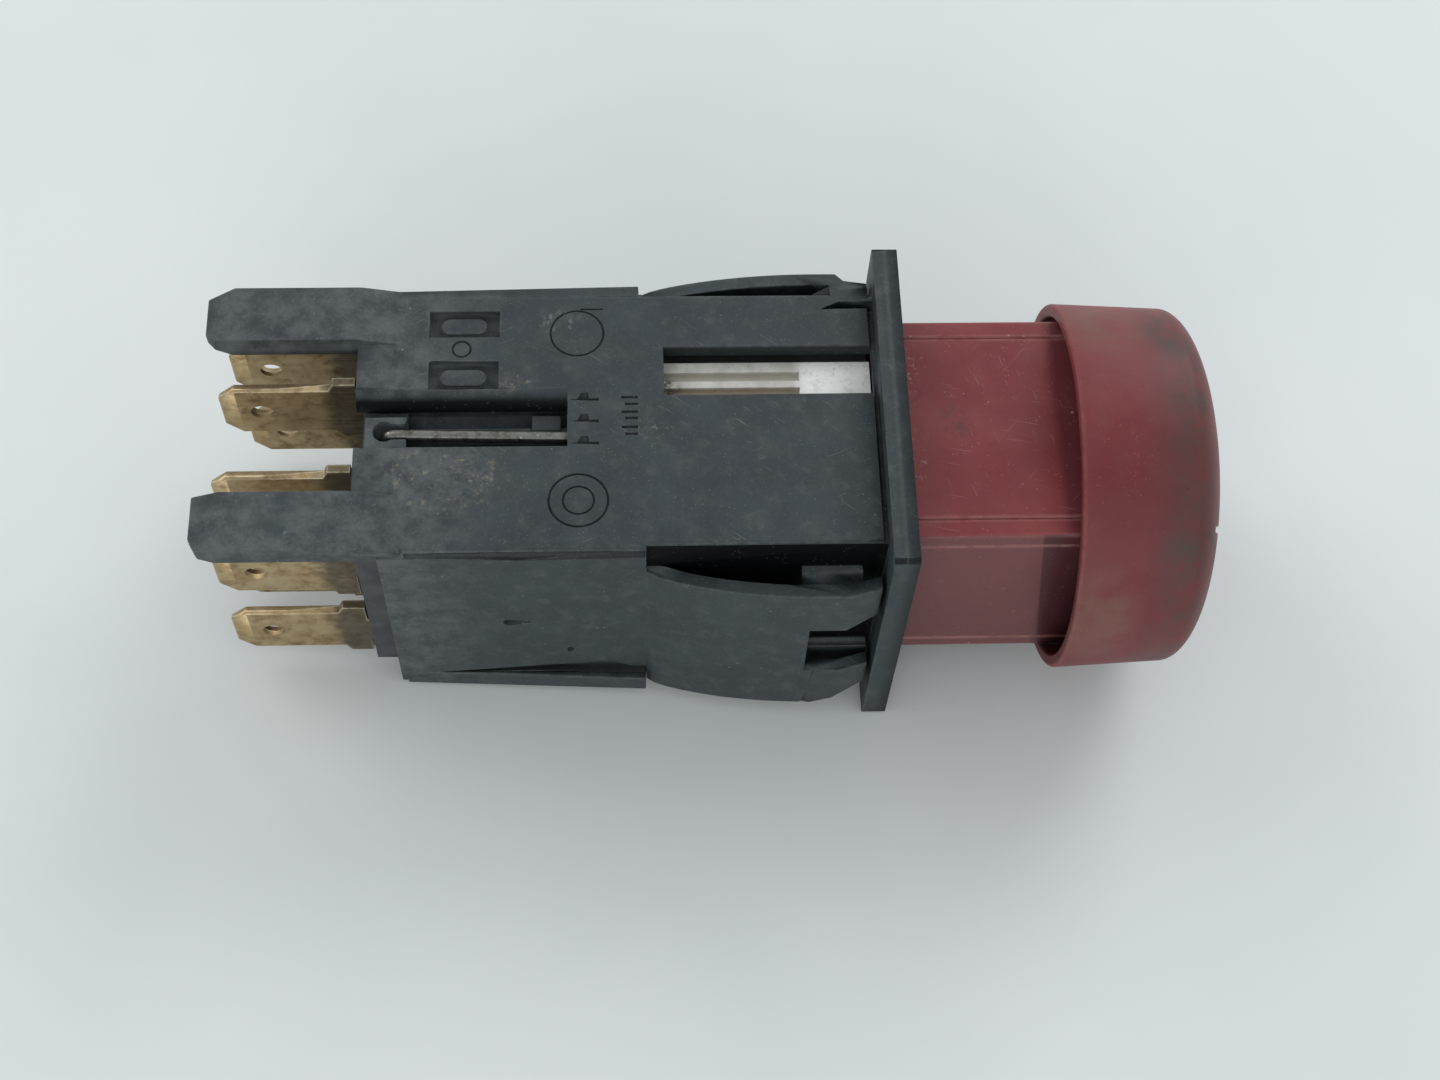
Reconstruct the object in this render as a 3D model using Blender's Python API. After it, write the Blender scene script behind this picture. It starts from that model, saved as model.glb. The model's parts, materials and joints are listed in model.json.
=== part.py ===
"""Push-push emergency switch with a red lens button, lying on its side.

Lengths are in millimetres, in a frame on the switch's own axis: x = 0 is the rear face of the bezel,
+X points to the button, +Y and +Z are the two sides of the square body, and z = 0 is the axis.
put() turns such a point into metres in the world, where the object stands on z = 0 and is centred
on x = 0.
"""
import math

import bmesh
import bpy

MM = 0.001

# Outline of the whole object
TONGUE_TIP = -55.7
BUTTON_FRONT = 29.2
CAP_RADIUS = 15.9
CENTRE_X = -(TONGUE_TIP + BUTTON_FRONT) / 2
AXIS_HEIGHT = CAP_RADIUS

# Housing
BODY_HALF = 12.5
BODY_REAR = -41.0
CAVITY_HALF = 11.0
MOUTH_HALF = 10.65
BEZEL_HALF = 15.0
BEZEL_THICK = 2.1
TOP_WALL_REAR = -43.2
TONGUE_TOP = 13.4
TONGUE_BOTTOM = 11.1
BACK_TONGUE = (7.2, 12.4)
FRONT_TONGUE = (-12.4, -7.1)
WINDOW_X = (-17.8, -0.3)
WINDOW_Y = (2.15, 6.75)
ARM_ROOT = -19.5
ARM_END = -0.3
ARM_BEND = -2.9
ARM_BULGE_START = -5.0
ARM_CURVE = 0.65
ARM_THICK = 1.2
FRONT_ARM_BOW = 15.1
FRONT_ARM_TIP = [(ARM_BEND, FRONT_ARM_BOW), (ARM_END, 14.4)]
BACK_ARM_BOW = 14.6
BACK_ARM_TIP = [(ARM_BEND, BACK_ARM_BOW), (-2.2, 13.9), (ARM_END, 13.6)]
ARM_LOW = -12.0
FRONT_ARM_HIGH = 9.05
BACK_ARM_HIGH = 11.7
ARM_WINDOW_X = (-5.9, 1.0)
ARM_WINDOW_Z = (-5.3, 2.8)

# Channel in the top face for the latch wire
GROOVE_X = (-39.0, -25.8)
GROOVE_Y = (-2.7, 1.0)
GROOVE_FLOOR = 10.6
FLOOR_UNDERSIDE = 9.2
PIVOT = (-40.8, -0.9)
WIRE_TIP = (-24.6, -1.3)
WIRE_RADIUS = 0.47
WIRE_HEIGHT = 11.4
WIRE_SEAT_END = 10.1
WIRE_TRACK_END = 8.3

# Terminals: 6.3 x 0.8 blades, standing on edge in two rows
BLADE_TIP = -55.1
BLADE_HEIGHT = 6.3
BLADE_THICK = 0.8
BLADE_HOLE_X = -51.7
BLADE_HOLE_RADIUS = 0.95
SHOULDER_REAR = -45.8
SHOULDER_RISE = 1.0
INNER_END = -29.5
UPPER_INNER = (3.8, 7.8)
LOWER_INNER = (-8.2, -4.2)
TERMINALS = {
    "terminal_upper_1": (10.3, 4.3, UPPER_INNER),
    "terminal_upper_2": (4.4, 7.1, UPPER_INNER),
    "terminal_upper_3": (-3.9, 7.1, UPPER_INNER),
    "terminal_upper_4": (-9.5, 4.4, UPPER_INNER),
    "terminal_lower_1": (10.3, -6.2, LOWER_INNER),
    "terminal_lower_2": (-4.4, -6.2, LOWER_INNER),
    "terminal_lower_3": (-9.8, -6.0, LOWER_INNER),
}

# Terminal carrier, closing the rear of the housing
CARRIER_REAR = -42.9
CARRIER_LIP_FRONT = -41.3
CARRIER_FRONT = -36.9
CARRIER_HALF = 10.6
CARRIER_TOP = 8.8
CARRIER_BOTTOM = -10.4
SPRING_POST_END = -29.0
SLOT_GAP = 0.2

# Slider
SLIDER_HALF = 10.75
SLIDER_REAR = -26.5
SLIDER_FRONT = -0.4
SPIGOT_HALF = 8.7
SPIGOT_FRONT = 12.0
CAM_TABLE_Z = 8.8
CAM_TABLE_Y = (-4.0, 3.0)
CAM_TABLE_FRONT = -14.5
CAM_FLOOR_Z = 7.9
RIB_GROOVES_Y = ((3.15, 3.75), (4.48, 5.28))
RIBS_BACK_EDGE = 6.3
RIB_GROOVE_END = -6.4
RIB_GROOVE_DEPTH = 0.6
SPRING_BORE_RADIUS = 4.6
SPRING_BORE_END = -12.0
POCKET_FRONT = -20.5
POST_END = -27.9
POST_HALF = 0.8

# Contact clips, one between each switched pair of terminals
CLIP_THICK = 0.3
CLIP_HEIGHT = 2.8
CLIP_GAP = 0.3
CLIPS = {
    "contact_clip_left": ("terminal_upper_1", "terminal_upper_2"),
    "contact_clip_right": ("terminal_upper_3", "terminal_upper_4"),
    "contact_clip_lower": ("terminal_lower_2", "terminal_lower_3"),
}

# Return spring
SPRING_RADIUS = 3.6
SPRING_WIRE = 0.4
SPRING_TURNS = 8.5

# Lamp
LAMP_BORE_RADIUS = 4.6
LAMP_BORE_END = -8.0
SOCKET_OUTER = 4.3
SOCKET_INNER = 3.85
SOCKET_X = (-5.6, 6.0)
BULB_CAP_RADIUS = 3.5
BULB_CAP_X = (-5.2, 6.2)
BULB_RADIUS = 3.2
BULB_X = (6.5, 17.5)
STRIP_THICK = 0.4
LIVE_STRIP_Y = 8.9
LIVE_STRIP_X = -7.4
STRIP_Z = (-7.6, -4.8)

# Red button
STEM_HALF = 10.45
STEM_CORNER = 0.3
STEM_WALL = 1.3
STEM_REAR = -0.2
SKIRT_REAR = 15.9
SHOULDER_X = 25.3
SHOULDER_RADIUS = 15.45
SKIRT_INNER = 14.8
CAP_INSIDE_X = 27.0
STEM_FRONT = 26.4
CROWN_SPREAD = 0.72


def put(x, y, z):
    """World position in metres of a point in the switch's own millimetre frame."""
    return ((x + CENTRE_X) * MM, y * MM, (z + AXIS_HEIGHT) * MM)


def material(name, colour, roughness, metallic=0.0):
    """Principled material, made once for each name."""
    made = bpy.data.materials.get(name)
    if made:
        return made
    made = bpy.data.materials.new(name)
    made.use_nodes = True
    shader = made.node_tree.nodes["Principled BSDF"]
    shader.inputs["Base Color"].default_value = (*colour, 1.0)
    shader.inputs["Roughness"].default_value = roughness
    shader.inputs["Metallic"].default_value = metallic
    return made


def black_plastic():
    return material("black_plastic", (0.035, 0.042, 0.05), 0.55)


def ivory_plastic():
    return material("ivory_plastic", (0.72, 0.68, 0.58), 0.5)


def red_plastic():
    return material("red_plastic", (0.3, 0.03, 0.03), 0.3)


def brass():
    return material("brass", (0.75, 0.6, 0.36), 0.35, 1.0)


def spring_steel():
    return material("spring_steel", (0.62, 0.62, 0.6), 0.3, 1.0)


def bulb_glass():
    return material("bulb_glass", (0.9, 0.9, 0.88), 0.05)


def solid(name, points, faces, finish=None, smooth=False):
    """Closed object from points in the switch's frame, with its faces turned outwards."""
    mesh = bpy.data.meshes.new(name)
    mesh.from_pydata([put(*p) for p in points], [], faces)
    shell = bmesh.new()
    shell.from_mesh(mesh)
    bmesh.ops.recalc_face_normals(shell, faces=shell.faces)
    shell.to_mesh(mesh)
    shell.free()
    if smooth:
        mesh.shade_smooth()
        mesh.set_sharp_from_angle(angle=math.radians(35))
    made = bpy.data.objects.new(name, mesh)
    bpy.context.collection.objects.link(made)
    if finish:
        mesh.materials.append(finish)
    return made


def prism(name, plane, outline, span, finish=None, smooth=False):
    """Outline drawn in the XY, XZ or YZ plane and drawn out along the third direction."""
    lift = {
        "XY": lambda u, v, w: (u, v, w),
        "XZ": lambda u, v, w: (u, w, v),
        "YZ": lambda u, v, w: (w, u, v),
    }[plane]
    low, high = span
    points = [lift(u, v, low) for u, v in outline] + [lift(u, v, high) for u, v in outline]
    n = len(outline)
    sides = [(i, (i + 1) % n, (i + 1) % n + n, i + n) for i in range(n)]
    ends = [tuple(range(n)), tuple(range(n, 2 * n))]
    return solid(name, points, sides + ends, finish, smooth)


def box(name, x, y, z, finish=None):
    """Block between low and high values along each direction."""
    outline = [(x[0], y[0]), (x[1], y[0]), (x[1], y[1]), (x[0], y[1])]
    return prism(name, "XY", outline, z, finish)


def rounded_square(half, corner, steps=4):
    """Square outline with quarter-circle corners."""
    outline = []
    for quarter in range(4):
        for step in range(steps + 1):
            turn = math.radians(90) * (quarter + step / steps)
            side = math.radians(90) * quarter + math.radians(45)
            centre = (half - corner) * math.sqrt(2)
            u = centre * math.cos(side) + corner * math.cos(turn)
            v = centre * math.sin(side) + corner * math.sin(turn)
            outline.append((u, v))
    return outline


def turned(name, profile, finish=None, steps=40, centre=(0.0, 0.0)):
    """Solid of revolution about a line along X.

    The profile is (x, radius) points from the front of the axis over the outside to the rear of the
    axis, or a closed ring that never touches the axis.
    """
    on_axis = profile[0][1] == 0 and profile[-1][1] == 0
    rings = profile[1:-1] if on_axis else profile
    points = []
    for x, radius in rings:
        for step in range(steps):
            turn = 2 * math.pi * step / steps
            points.append((x, centre[0] + radius * math.cos(turn), centre[1] + radius * math.sin(turn)))
    faces = []
    links = len(rings) - 1 if on_axis else len(rings)
    for ring in range(links):
        here = ring * steps
        there = (ring + 1) % len(rings) * steps
        for step in range(steps):
            after = (step + 1) % steps
            faces.append((here + step, here + after, there + after, there + step))
    if on_axis:
        front = len(points)
        points.append((profile[0][0], *centre))
        points.append((profile[-1][0], *centre))
        last = links * steps
        for step in range(steps):
            after = (step + 1) % steps
            faces.append((front, after, step))
            faces.append((front + 1, last + step, last + after))
    return solid(name, points, faces, finish, smooth=True)


def cylinder(name, x, radius, finish=None, centre=(0.0, 0.0), steps=32):
    """Round bar along X."""
    return turned(name, [(x[1], 0), (x[1], radius), (x[0], radius), (x[0], 0)], finish, steps, centre)


def upright_cylinder(name, centre, radius, z, steps=24):
    """Round bar along Z."""
    turns = [2 * math.pi * step / steps for step in range(steps)]
    outline = [(centre[0] + radius * math.cos(t), centre[1] + radius * math.sin(t)) for t in turns]
    return prism(name, "XY", outline, z)


def cross_cylinder(name, centre, radius, y, steps=20):
    """Round bar along Y, with its centre given as (x, z)."""
    turns = [2 * math.pi * step / steps for step in range(steps)]
    outline = [(centre[0] + radius * math.cos(t), centre[1] + radius * math.sin(t)) for t in turns]
    return prism(name, "XZ", outline, y)


def swept(name, path, radius, finish, sides=8):
    """Closed round wire along a list of points."""
    curve = bpy.data.curves.new(name, "CURVE")
    curve.dimensions = "3D"
    curve.bevel_depth = radius * MM
    curve.bevel_resolution = sides // 4
    curve.use_fill_caps = True
    spline = curve.splines.new("POLY")
    spline.points.add(len(path) - 1)
    for point, place in zip(spline.points, path):
        point.co = (*put(*place), 1.0)
    curve.materials.append(finish)
    made = bpy.data.objects.new(name, curve)
    bpy.context.collection.objects.link(made)
    return made


def boolean(target, tool, operation):
    """Cut a tool out of a target, or join it on, and keep the tool as a hidden guide."""
    tool.hide_render = True
    tool.display_type = "WIRE"
    modifier = target.modifiers.new(f"{operation.lower()}_{tool.name}", "BOOLEAN")
    modifier.operation = operation
    modifier.solver = "EXACT"
    modifier.object = tool


def cut(target, *tools):
    for tool in tools:
        boolean(target, tool, "DIFFERENCE")


def join(target, *pieces):
    for piece in pieces:
        boolean(target, piece, "UNION")


def arc(centre, radius, start, end, steps):
    """Points on an arc, with angles in degrees."""
    turns = [math.radians(start + (end - start) * step / steps) for step in range(steps + 1)]
    return [(centre[0] + radius * math.cos(t), centre[1] + radius * math.sin(t)) for t in turns]


def ribbon(path, thickness):
    """Outline of a strip of even thickness to the left of a path of points."""
    offset = []
    for index, point in enumerate(path):
        before = path[max(index - 1, 0)]
        after = path[min(index + 1, len(path) - 1)]
        run = (after[0] - before[0], after[1] - before[1])
        length = math.hypot(*run)
        offset.append((point[0] - run[1] / length * thickness, point[1] + run[0] / length * thickness))
    return list(path) + offset[::-1]


def mirrored(outline):
    """The same outline on the other side of the XZ plane."""
    return [(x, -y) for x, y in outline]


def arm_outline(bow, tip):
    """Plan of the snap arm on the +Y side: a bowed leaf that bends back in at its free end."""
    steps = 6
    outer = []
    for step in range(steps + 1):
        share = step / steps
        x = ARM_ROOT + (ARM_BULGE_START - ARM_ROOT) * share
        rise = math.sin(share * math.pi / 2) ** ARM_CURVE
        outer.append((x, BODY_HALF + (bow - BODY_HALF) * rise))
    outer += tip
    inner = [(x, y - ARM_THICK) for x, y in outer if x > ARM_ROOT + 2.5]
    root = [
        (ARM_ROOT + 1.2, BODY_HALF - 0.6),
        (ARM_ROOT + 0.2, BODY_HALF - 1.0),
        (ARM_ROOT - 1.5, BODY_HALF - 1.0),
        (ARM_ROOT - 1.5, BODY_HALF - 0.01),
    ]
    return outer + inner[::-1] + root


def tongue_outline(low, high, outer_is_high):
    """Plan of a rear guide tongue with a clipped outer corner and a small inner one."""
    outer_clip, inner_clip = (1.2, 0.5) if outer_is_high else (0.5, 1.0)
    return [
        (-39.1, low),
        (-39.1, high),
        (TONGUE_TIP + 2.1, high),
        (TONGUE_TIP, high - outer_clip),
        (TONGUE_TIP, low + inner_clip),
        (TONGUE_TIP + 0.6, low),
    ]


def housing_tongue(name, span, outer_is_high):
    tongue = prism(name, "XY", tongue_outline(*span, outer_is_high), (TONGUE_BOTTOM, TONGUE_TOP))
    ramp = [(-43.4, TONGUE_TOP), (-39.1, BODY_HALF - 0.1), (-38.0, BODY_HALF - 0.1), (-38.0, 15), (-43.4, 15)]
    tip = [(-56.5, 10.5), (-53.6, 10.5), (-53.9, TONGUE_BOTTOM), (TONGUE_TIP, 12.2), (-56.5, 12.2)]
    wide = (span[0] - 1, span[1] + 1)
    cut(tongue, prism(name + "_ramp", "XZ", ramp, wide), prism(name + "_tip", "XZ", tip, wide))
    return tongue


def housing_arm(name, outline, high, reach):
    """Snap arm with a window near its free end and its lower corner cut away."""
    arm = prism(name, "XY", outline, (ARM_LOW, high))
    foot = [(ARM_BEND - 3.0, ARM_LOW - 0.5), (ARM_BEND, -11.0), (1.0, -8.0), (1.0, ARM_LOW - 0.5)]
    cut(arm, box(name + "_window", ARM_WINDOW_X, reach, ARM_WINDOW_Z))
    cut(arm, prism(name + "_foot", "XZ", foot, reach))
    return arm


def make_housing():
    """Square moulding with the bezel, two snap arms, two rear tongues and the latch channel."""
    body = prism("housing", "YZ", rounded_square(BODY_HALF, 1.0), (BODY_REAR, 0.6), black_plastic())
    bezel = prism("bezel", "YZ", rounded_square(BEZEL_HALF, 0.5), (0.0, BEZEL_THICK))
    top_wall = box("top_wall", (TOP_WALL_REAR, -40.0), (-6.6, 7.5), (10.9, BODY_HALF))
    join(body, bezel, top_wall)
    join(body, housing_tongue("back_tongue", BACK_TONGUE, True))
    join(body, housing_tongue("front_tongue", FRONT_TONGUE, False))
    side = (BODY_REAR - 1, -0.1)
    inside = prism("cavity", "YZ", rounded_square(CAVITY_HALF, 0.6), side)
    mouth = prism("mouth", "YZ", rounded_square(MOUTH_HALF, 0.6), (-1.0, BEZEL_THICK + 1))
    cut(body, inside, mouth)
    for name, low, high in (("front_recess", -16.0, -11.9), ("back_recess", 11.9, 16.0)):
        cut(body, box(name, (ARM_ROOT, 0.0), (low, high), (-13.0, 13.0)))
    front_plan = mirrored(arm_outline(FRONT_ARM_BOW, FRONT_ARM_TIP))
    front_arm = housing_arm("front_arm", front_plan, FRONT_ARM_HIGH, (-16.0, -11.0))
    slope = [(ARM_BEND, 2.7), (1.0, 2.7), (1.0, 5.4)]
    cut(front_arm, prism("front_arm_slope", "XZ", slope, (-16.0, -11.0)))
    back_plan = arm_outline(BACK_ARM_BOW, BACK_ARM_TIP)
    back_arm = housing_arm("back_arm", back_plan, BACK_ARM_HIGH, (11.0, 16.0))
    front_web = box("front_arm_web", (-6.8, -1.8), (-14.2, -11.8), (7.5, FRONT_ARM_HIGH - 0.3))
    window_rib = box("window_rib", (-6.5, -0.32), (-12.7, -11.8), (-1.9, -0.3))
    join(body, front_arm, back_arm, front_web, window_rib)
    join(body, box("channel_floor", (-42.4, -25.6), (-3.2, 2.4), (FLOOR_UNDERSIDE, 11.5)))
    cut_channel(body)
    cut(body, box("slider_window", WINDOW_X, WINDOW_Y, (9.0, 13.5)))
    wedge = [(-4.35, 10.5), (-2.9, 11.2), (0.0, 11.2), (0.0, 10.55)]
    cut(body, prism("corner_wedge", "XY", wedge, (11.05, 13.5)))
    web = [(11.5, 9.1), (11.5, BODY_HALF), (12.5, BODY_HALF), (13.4, 11.75), (13.4, 9.1)]
    join(body, prism("back_arm_web", "YZ", web, (-3.5, -0.32)))
    add_side_springs(body)
    return body


def add_side_springs(body):
    """Sprung strip low on the front side and a flared rib high on the back, which centre the body."""
    wall = [(-38.0, -10.2), (-23.5, -8.35), (-22.1, -8.6), (-19.4, -10.2)]
    strip = [(-40.5, -12.45), (-19.45, -13.45), (-19.45, -12.75), (-38.0, -12.35), (-40.5, -11.9)]
    gap = [(-37.6, -12.2), (-34.0, -11.8), (-19.4, -11.8), (-19.4, -12.6), (-37.6, -12.3)]
    cut(body, prism("strip_relief", "XZ", wall, (-13.5, -11.8)))
    join(body, prism("side_strip", "XY", strip, (-12.4, -10.2)))
    cut(body, prism("strip_gap", "XY", gap, (-13.0, -9.4)))
    rib = [(-40.0, 12.0), (-40.0, 12.45), (-19.8, 12.95), (-19.8, 12.0)]
    join(body, prism("back_rib", "XY", rib, (9.0, 12.35)))


def cut_channel(body):
    """Open the latch wire's channel, its rounded far side, the pivot seat and the tunnel at its end."""
    channel = box("channel", GROOVE_X, GROOVE_Y, (GROOVE_FLOOR, 13.5))
    rounded = [(1.6, 11.2), (1.71, 11.7), (2.04, 12.12), (2.53, 12.4), (3.1, BODY_HALF)]
    far = [(0.5, GROOVE_FLOOR), (1.6, GROOVE_FLOOR)] + rounded + [(3.1, 13.5), (0.5, 13.5)]
    far_side = prism("channel_far_side", "YZ", far, (-44.0, GROOVE_X[1]))
    seat = box("pivot_seat", (-44.0, -38.9), GROOVE_Y, (12.0, 13.5))
    behind_seat = box("behind_seat", (-44.0, -42.4), GROOVE_Y, (10.0, 13.5))
    slot = box("pivot_slot", (PIVOT[0], -38.9), (PIVOT[1] - 0.75, PIVOT[1] + 0.75), (10.7, 13.5))
    hole = upright_cylinder("pivot_hole", PIVOT, 0.95, (9.7, 13.5))
    trough = box("channel_trough", GROOVE_X, (0.1, 1.6), (9.8, 11.5))
    tunnel = box("wire_tunnel", (-26.0, -23.5), (-2.9, 1.5), (GROOVE_FLOOR, 11.95))
    under = box("tunnel_mouth", (-25.5, -23.5), (-2.9, 1.5), (8.0, 10.9))
    cut(body, channel, far_side, trough, seat, behind_seat, slot, hole, tunnel, under)


def make_carrier():
    """Block that closes the rear of the housing, slotted for the terminals."""
    lip = box("carrier_lip", (CARRIER_REAR, CARRIER_LIP_FRONT), (-11.9, 11.9), (-8.3, 10.4))
    plug_x = (CARRIER_REAR + 0.2, CARRIER_FRONT)
    plug_y = (-CARRIER_HALF, CARRIER_HALF)
    plug = box("terminal_carrier", plug_x, plug_y, (CARRIER_BOTTOM, CARRIER_TOP), black_plastic())
    below = box("plug_foot", (-44.0, CARRIER_LIP_FRONT), (-12.5, 12.5), (-13.0, -8.31))
    cut(plug, below)
    cut(lip, box("channel_room", (-44.0, -41.0), (-3.5, 2.7), (CARRIER_TOP + 0.1, 12.0)))
    join(plug, lip, cylinder("spring_post", (CARRIER_FRONT - 1, SPRING_POST_END), 2.5, steps=20))
    for name, (y, z, inner) in TERMINALS.items():
        half = BLADE_THICK / 2 + SLOT_GAP
        high = (inner[0] - SLOT_GAP, inner[1] + SLOT_GAP)
        cut(plug, box(name + "_slot", (-44.0, CARRIER_FRONT + 1), (y - half, y + half), high))
    return plug


def make_terminal(name, y, z, inner):
    """Blade with a clipped tip, a detent hole, a shoulder and an inner contact strip."""
    low, high = z - BLADE_HEIGHT / 2, z + BLADE_HEIGHT / 2
    stop = TOP_WALL_REAR - 0.25
    outline = [
        (BLADE_TIP, low + 1.2),
        (BLADE_TIP + 1.4, low),
        (SHOULDER_REAR, low),
        (SHOULDER_REAR + 0.4, low - SHOULDER_RISE),
        (stop, low - SHOULDER_RISE),
        (stop, inner[0]),
        (INNER_END - 0.5, inner[0]),
        (INNER_END, inner[0] + 0.5),
        (INNER_END, inner[1] - 0.5),
        (INNER_END - 0.5, inner[1]),
        (stop, inner[1]),
        (stop, high + SHOULDER_RISE),
        (SHOULDER_REAR + 0.4, high + SHOULDER_RISE),
        (SHOULDER_REAR, high),
        (BLADE_TIP + 1.4, high),
        (BLADE_TIP, high - 1.2),
    ]
    blade = prism(name, "XZ", outline, (y - BLADE_THICK / 2, y + BLADE_THICK / 2), brass())
    cut(blade, cross_cylinder(name + "_hole", (BLADE_HOLE_X, z), BLADE_HOLE_RADIUS, (y - 1, y + 1)))
    return blade


def clip_middle(first, second):
    """Middle and half-width of the space between two neighbouring terminals."""
    ys = sorted((TERMINALS[first][0], TERMINALS[second][0]))
    return (ys[0] + ys[1]) / 2, (ys[1] - ys[0] - BLADE_THICK) / 2


def make_slider():
    """Ivory block that carries the contacts and the lamp, with a spigot inside the red stem."""
    square = rounded_square(SLIDER_HALF, 0.8)
    slider = prism("slider", "YZ", square, (SLIDER_REAR, SLIDER_FRONT), ivory_plastic())
    join(slider, prism("spigot", "YZ", rounded_square(SPIGOT_HALF, 1.0), (SLIDER_FRONT - 1, SPIGOT_FRONT)))
    table = box("cam_table", (-27.5, CAM_TABLE_FRONT), CAM_TABLE_Y, (CAM_TABLE_Z, 12.0))
    cut(slider, table)
    cut_cam_track(slider)
    for index, span in enumerate(RIB_GROOVES_Y):
        depth = (SLIDER_HALF - RIB_GROOVE_DEPTH, 12.0)
        cut(slider, box(f"rib_groove_{index}", (-27.5, RIB_GROOVE_END), span, depth))
    cut(slider, box("back_step", (-27.5, -0.3), (RIBS_BACK_EDGE, 11.5), (SLIDER_HALF - 1.3, 12.0)))
    cut(slider, cylinder("spring_bore", (-27.5, SPRING_BORE_END), SPRING_BORE_RADIUS))
    cut(slider, cylinder("lamp_bore", (LAMP_BORE_END, 13.0), LAMP_BORE_RADIUS))
    cut_contact_pockets(slider)
    cut_lamp_slots(slider)
    return slider


def cut_cam_track(slider):
    """Heart-shaped track for the tip of the latch wire, with its island left standing."""
    depth = (CAM_FLOOR_Z, 10.0)
    entry = [(-25.6, -0.6), (-25.6, -2.8)]
    loop = entry + [(-18.0, -1.6), (-15.5, -0.6), (-15.5, 2.0), (-18.5, 2.6), (-21.8, 2.6)]
    track = prism("cam_track", "XY", loop, depth)
    heart = [(-21.7, 1.1), (-20.6, 0.72), (-19.3, 1.0), (-19.7, 1.25), (-19.3, 1.55), (-20.6, 1.6)]
    island = prism("cam_island", "XY", heart, (CAM_FLOOR_Z - 0.5, 10.5))
    cut(track, island)
    cut(slider, track)


def cut_contact_pockets(slider):
    """Room around each switched pair of contact strips, with the clip's post left in the middle."""
    for name, (first, second) in CLIPS.items():
        middle, half = clip_middle(first, second)
        inner = TERMINALS[first][2]
        reach = half + BLADE_THICK + 0.3
        high = (inner[0] - 0.4, inner[1] + 0.4)
        pocket = box(name + "_pocket", (-27.5, POCKET_FRONT), (middle - reach, middle + reach), high)
        cut(slider, pocket)
        post_y = (middle - POST_HALF, middle + POST_HALF)
        post_z = (inner[0] - 0.8, inner[1] + 0.8)
        join(slider, box(name + "_post", (POST_END, POCKET_FRONT + 1), post_y, post_z))


def cut_lamp_slots(slider):
    """Slots for the lamp's feed and return strips."""
    live = box("live_slot", (-27.5, -6.5), (8.55, 11.5), (-8.6, -3.8))
    cross = box("live_cross_slot", (-7.9, -6.5), (-1.7, 11.5), (-8.6, 1.7))
    back = box("return_slot", (-20.6, -3.0), (-7.9, -6.3), (-8.0, -4.4))
    lead = box("return_lead_slot", (-4.0, 1.6), (-7.9, -3.0), (-8.0, 1.7))
    cut(slider, live, cross, back, lead)


def make_clip(name, first, second):
    """Bowed strip bent round its post, with both legs sprung towards the terminals."""
    middle, half = clip_middle(first, second)
    bulge = half - CLIP_GAP
    near = POST_HALF + 0.25
    touch = [(-24.6, bulge - 0.25), (-25.4, bulge), (-26.2, bulge - 0.25)]
    leg = [(-21.4, near), (-23.0, near + 0.2)] + touch + [(-27.4, near + 0.3)]
    leg = [(x, y - CLIP_THICK) if y > near + 0.4 else (x, y) for x, y in leg]
    nose = arc((POST_END + 0.5, 0.0), near, 90, 180, 5)
    half_path = leg + nose
    path = half_path + mirrored(half_path[:-1])[::-1]
    outline = [(x, y + middle) for x, y in ribbon(path, -CLIP_THICK)]
    centre_z = sum(TERMINALS[first][2]) / 2
    span = (centre_z - CLIP_HEIGHT / 2, centre_z + CLIP_HEIGHT / 2)
    return prism(name, "XY", outline, span, brass())


def make_latch_wire():
    """Steel wire with one end turned down into its pivot and the other into the cam track."""
    bend = 0.9
    low = WIRE_HEIGHT - bend
    rear = arc((PIVOT[0] + bend, low), bend, 180, 90, 3)
    front = arc((WIRE_TIP[0] - bend, low), bend, 90, 0, 3)
    profile = [(PIVOT[0], WIRE_SEAT_END)] + rear + front + [(WIRE_TIP[0], WIRE_TRACK_END)]
    slope = (WIRE_TIP[1] - PIVOT[1]) / (WIRE_TIP[0] - PIVOT[0])
    path = [(x, PIVOT[1] + slope * (x - PIVOT[0]), z) for x, z in profile]
    return swept("latch_wire", path, WIRE_RADIUS, spring_steel())


def make_return_spring():
    """Coil between the carrier and the bottom of the slider's bore."""
    low, high = CARRIER_FRONT + 0.8, SPRING_BORE_END - 0.8
    steps = int(SPRING_TURNS * 14)
    path = []
    for step in range(steps + 1):
        share = step / steps
        turn = 2 * math.pi * SPRING_TURNS * share
        eased = 0.5 - 0.5 * math.cos(math.pi * share)
        x = low + (high - low) * (0.85 * share + 0.15 * eased)
        path.append((x, SPRING_RADIUS * math.cos(turn), SPRING_RADIUS * math.sin(turn)))
    return swept("return_spring", path, SPRING_WIRE, spring_steel(), sides=4)


def make_lamp():
    """Small bayonet bulb, its socket and the two strips that feed it."""
    rear, front = BULB_CAP_X
    cylinder("bulb_cap", (rear, front), BULB_CAP_RADIUS, brass())
    dome = arc((BULB_X[1] - BULB_RADIUS, 0.0), BULB_RADIUS, 0, 90, 6)
    profile = [(x, abs(r)) for x, r in dome]
    profile[0] = (BULB_X[1], 0)
    turned("bulb_glass", profile + [(BULB_X[0], BULB_RADIUS), (BULB_X[0], 0)], bulb_glass(), 28)
    low, high = SOCKET_X
    socket = [(high, SOCKET_OUTER), (low, SOCKET_OUTER), (low, SOCKET_INNER), (high, SOCKET_INNER)]
    turned("lamp_socket", socket, brass(), 28)
    make_live_strip()
    make_return_strip()


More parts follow.
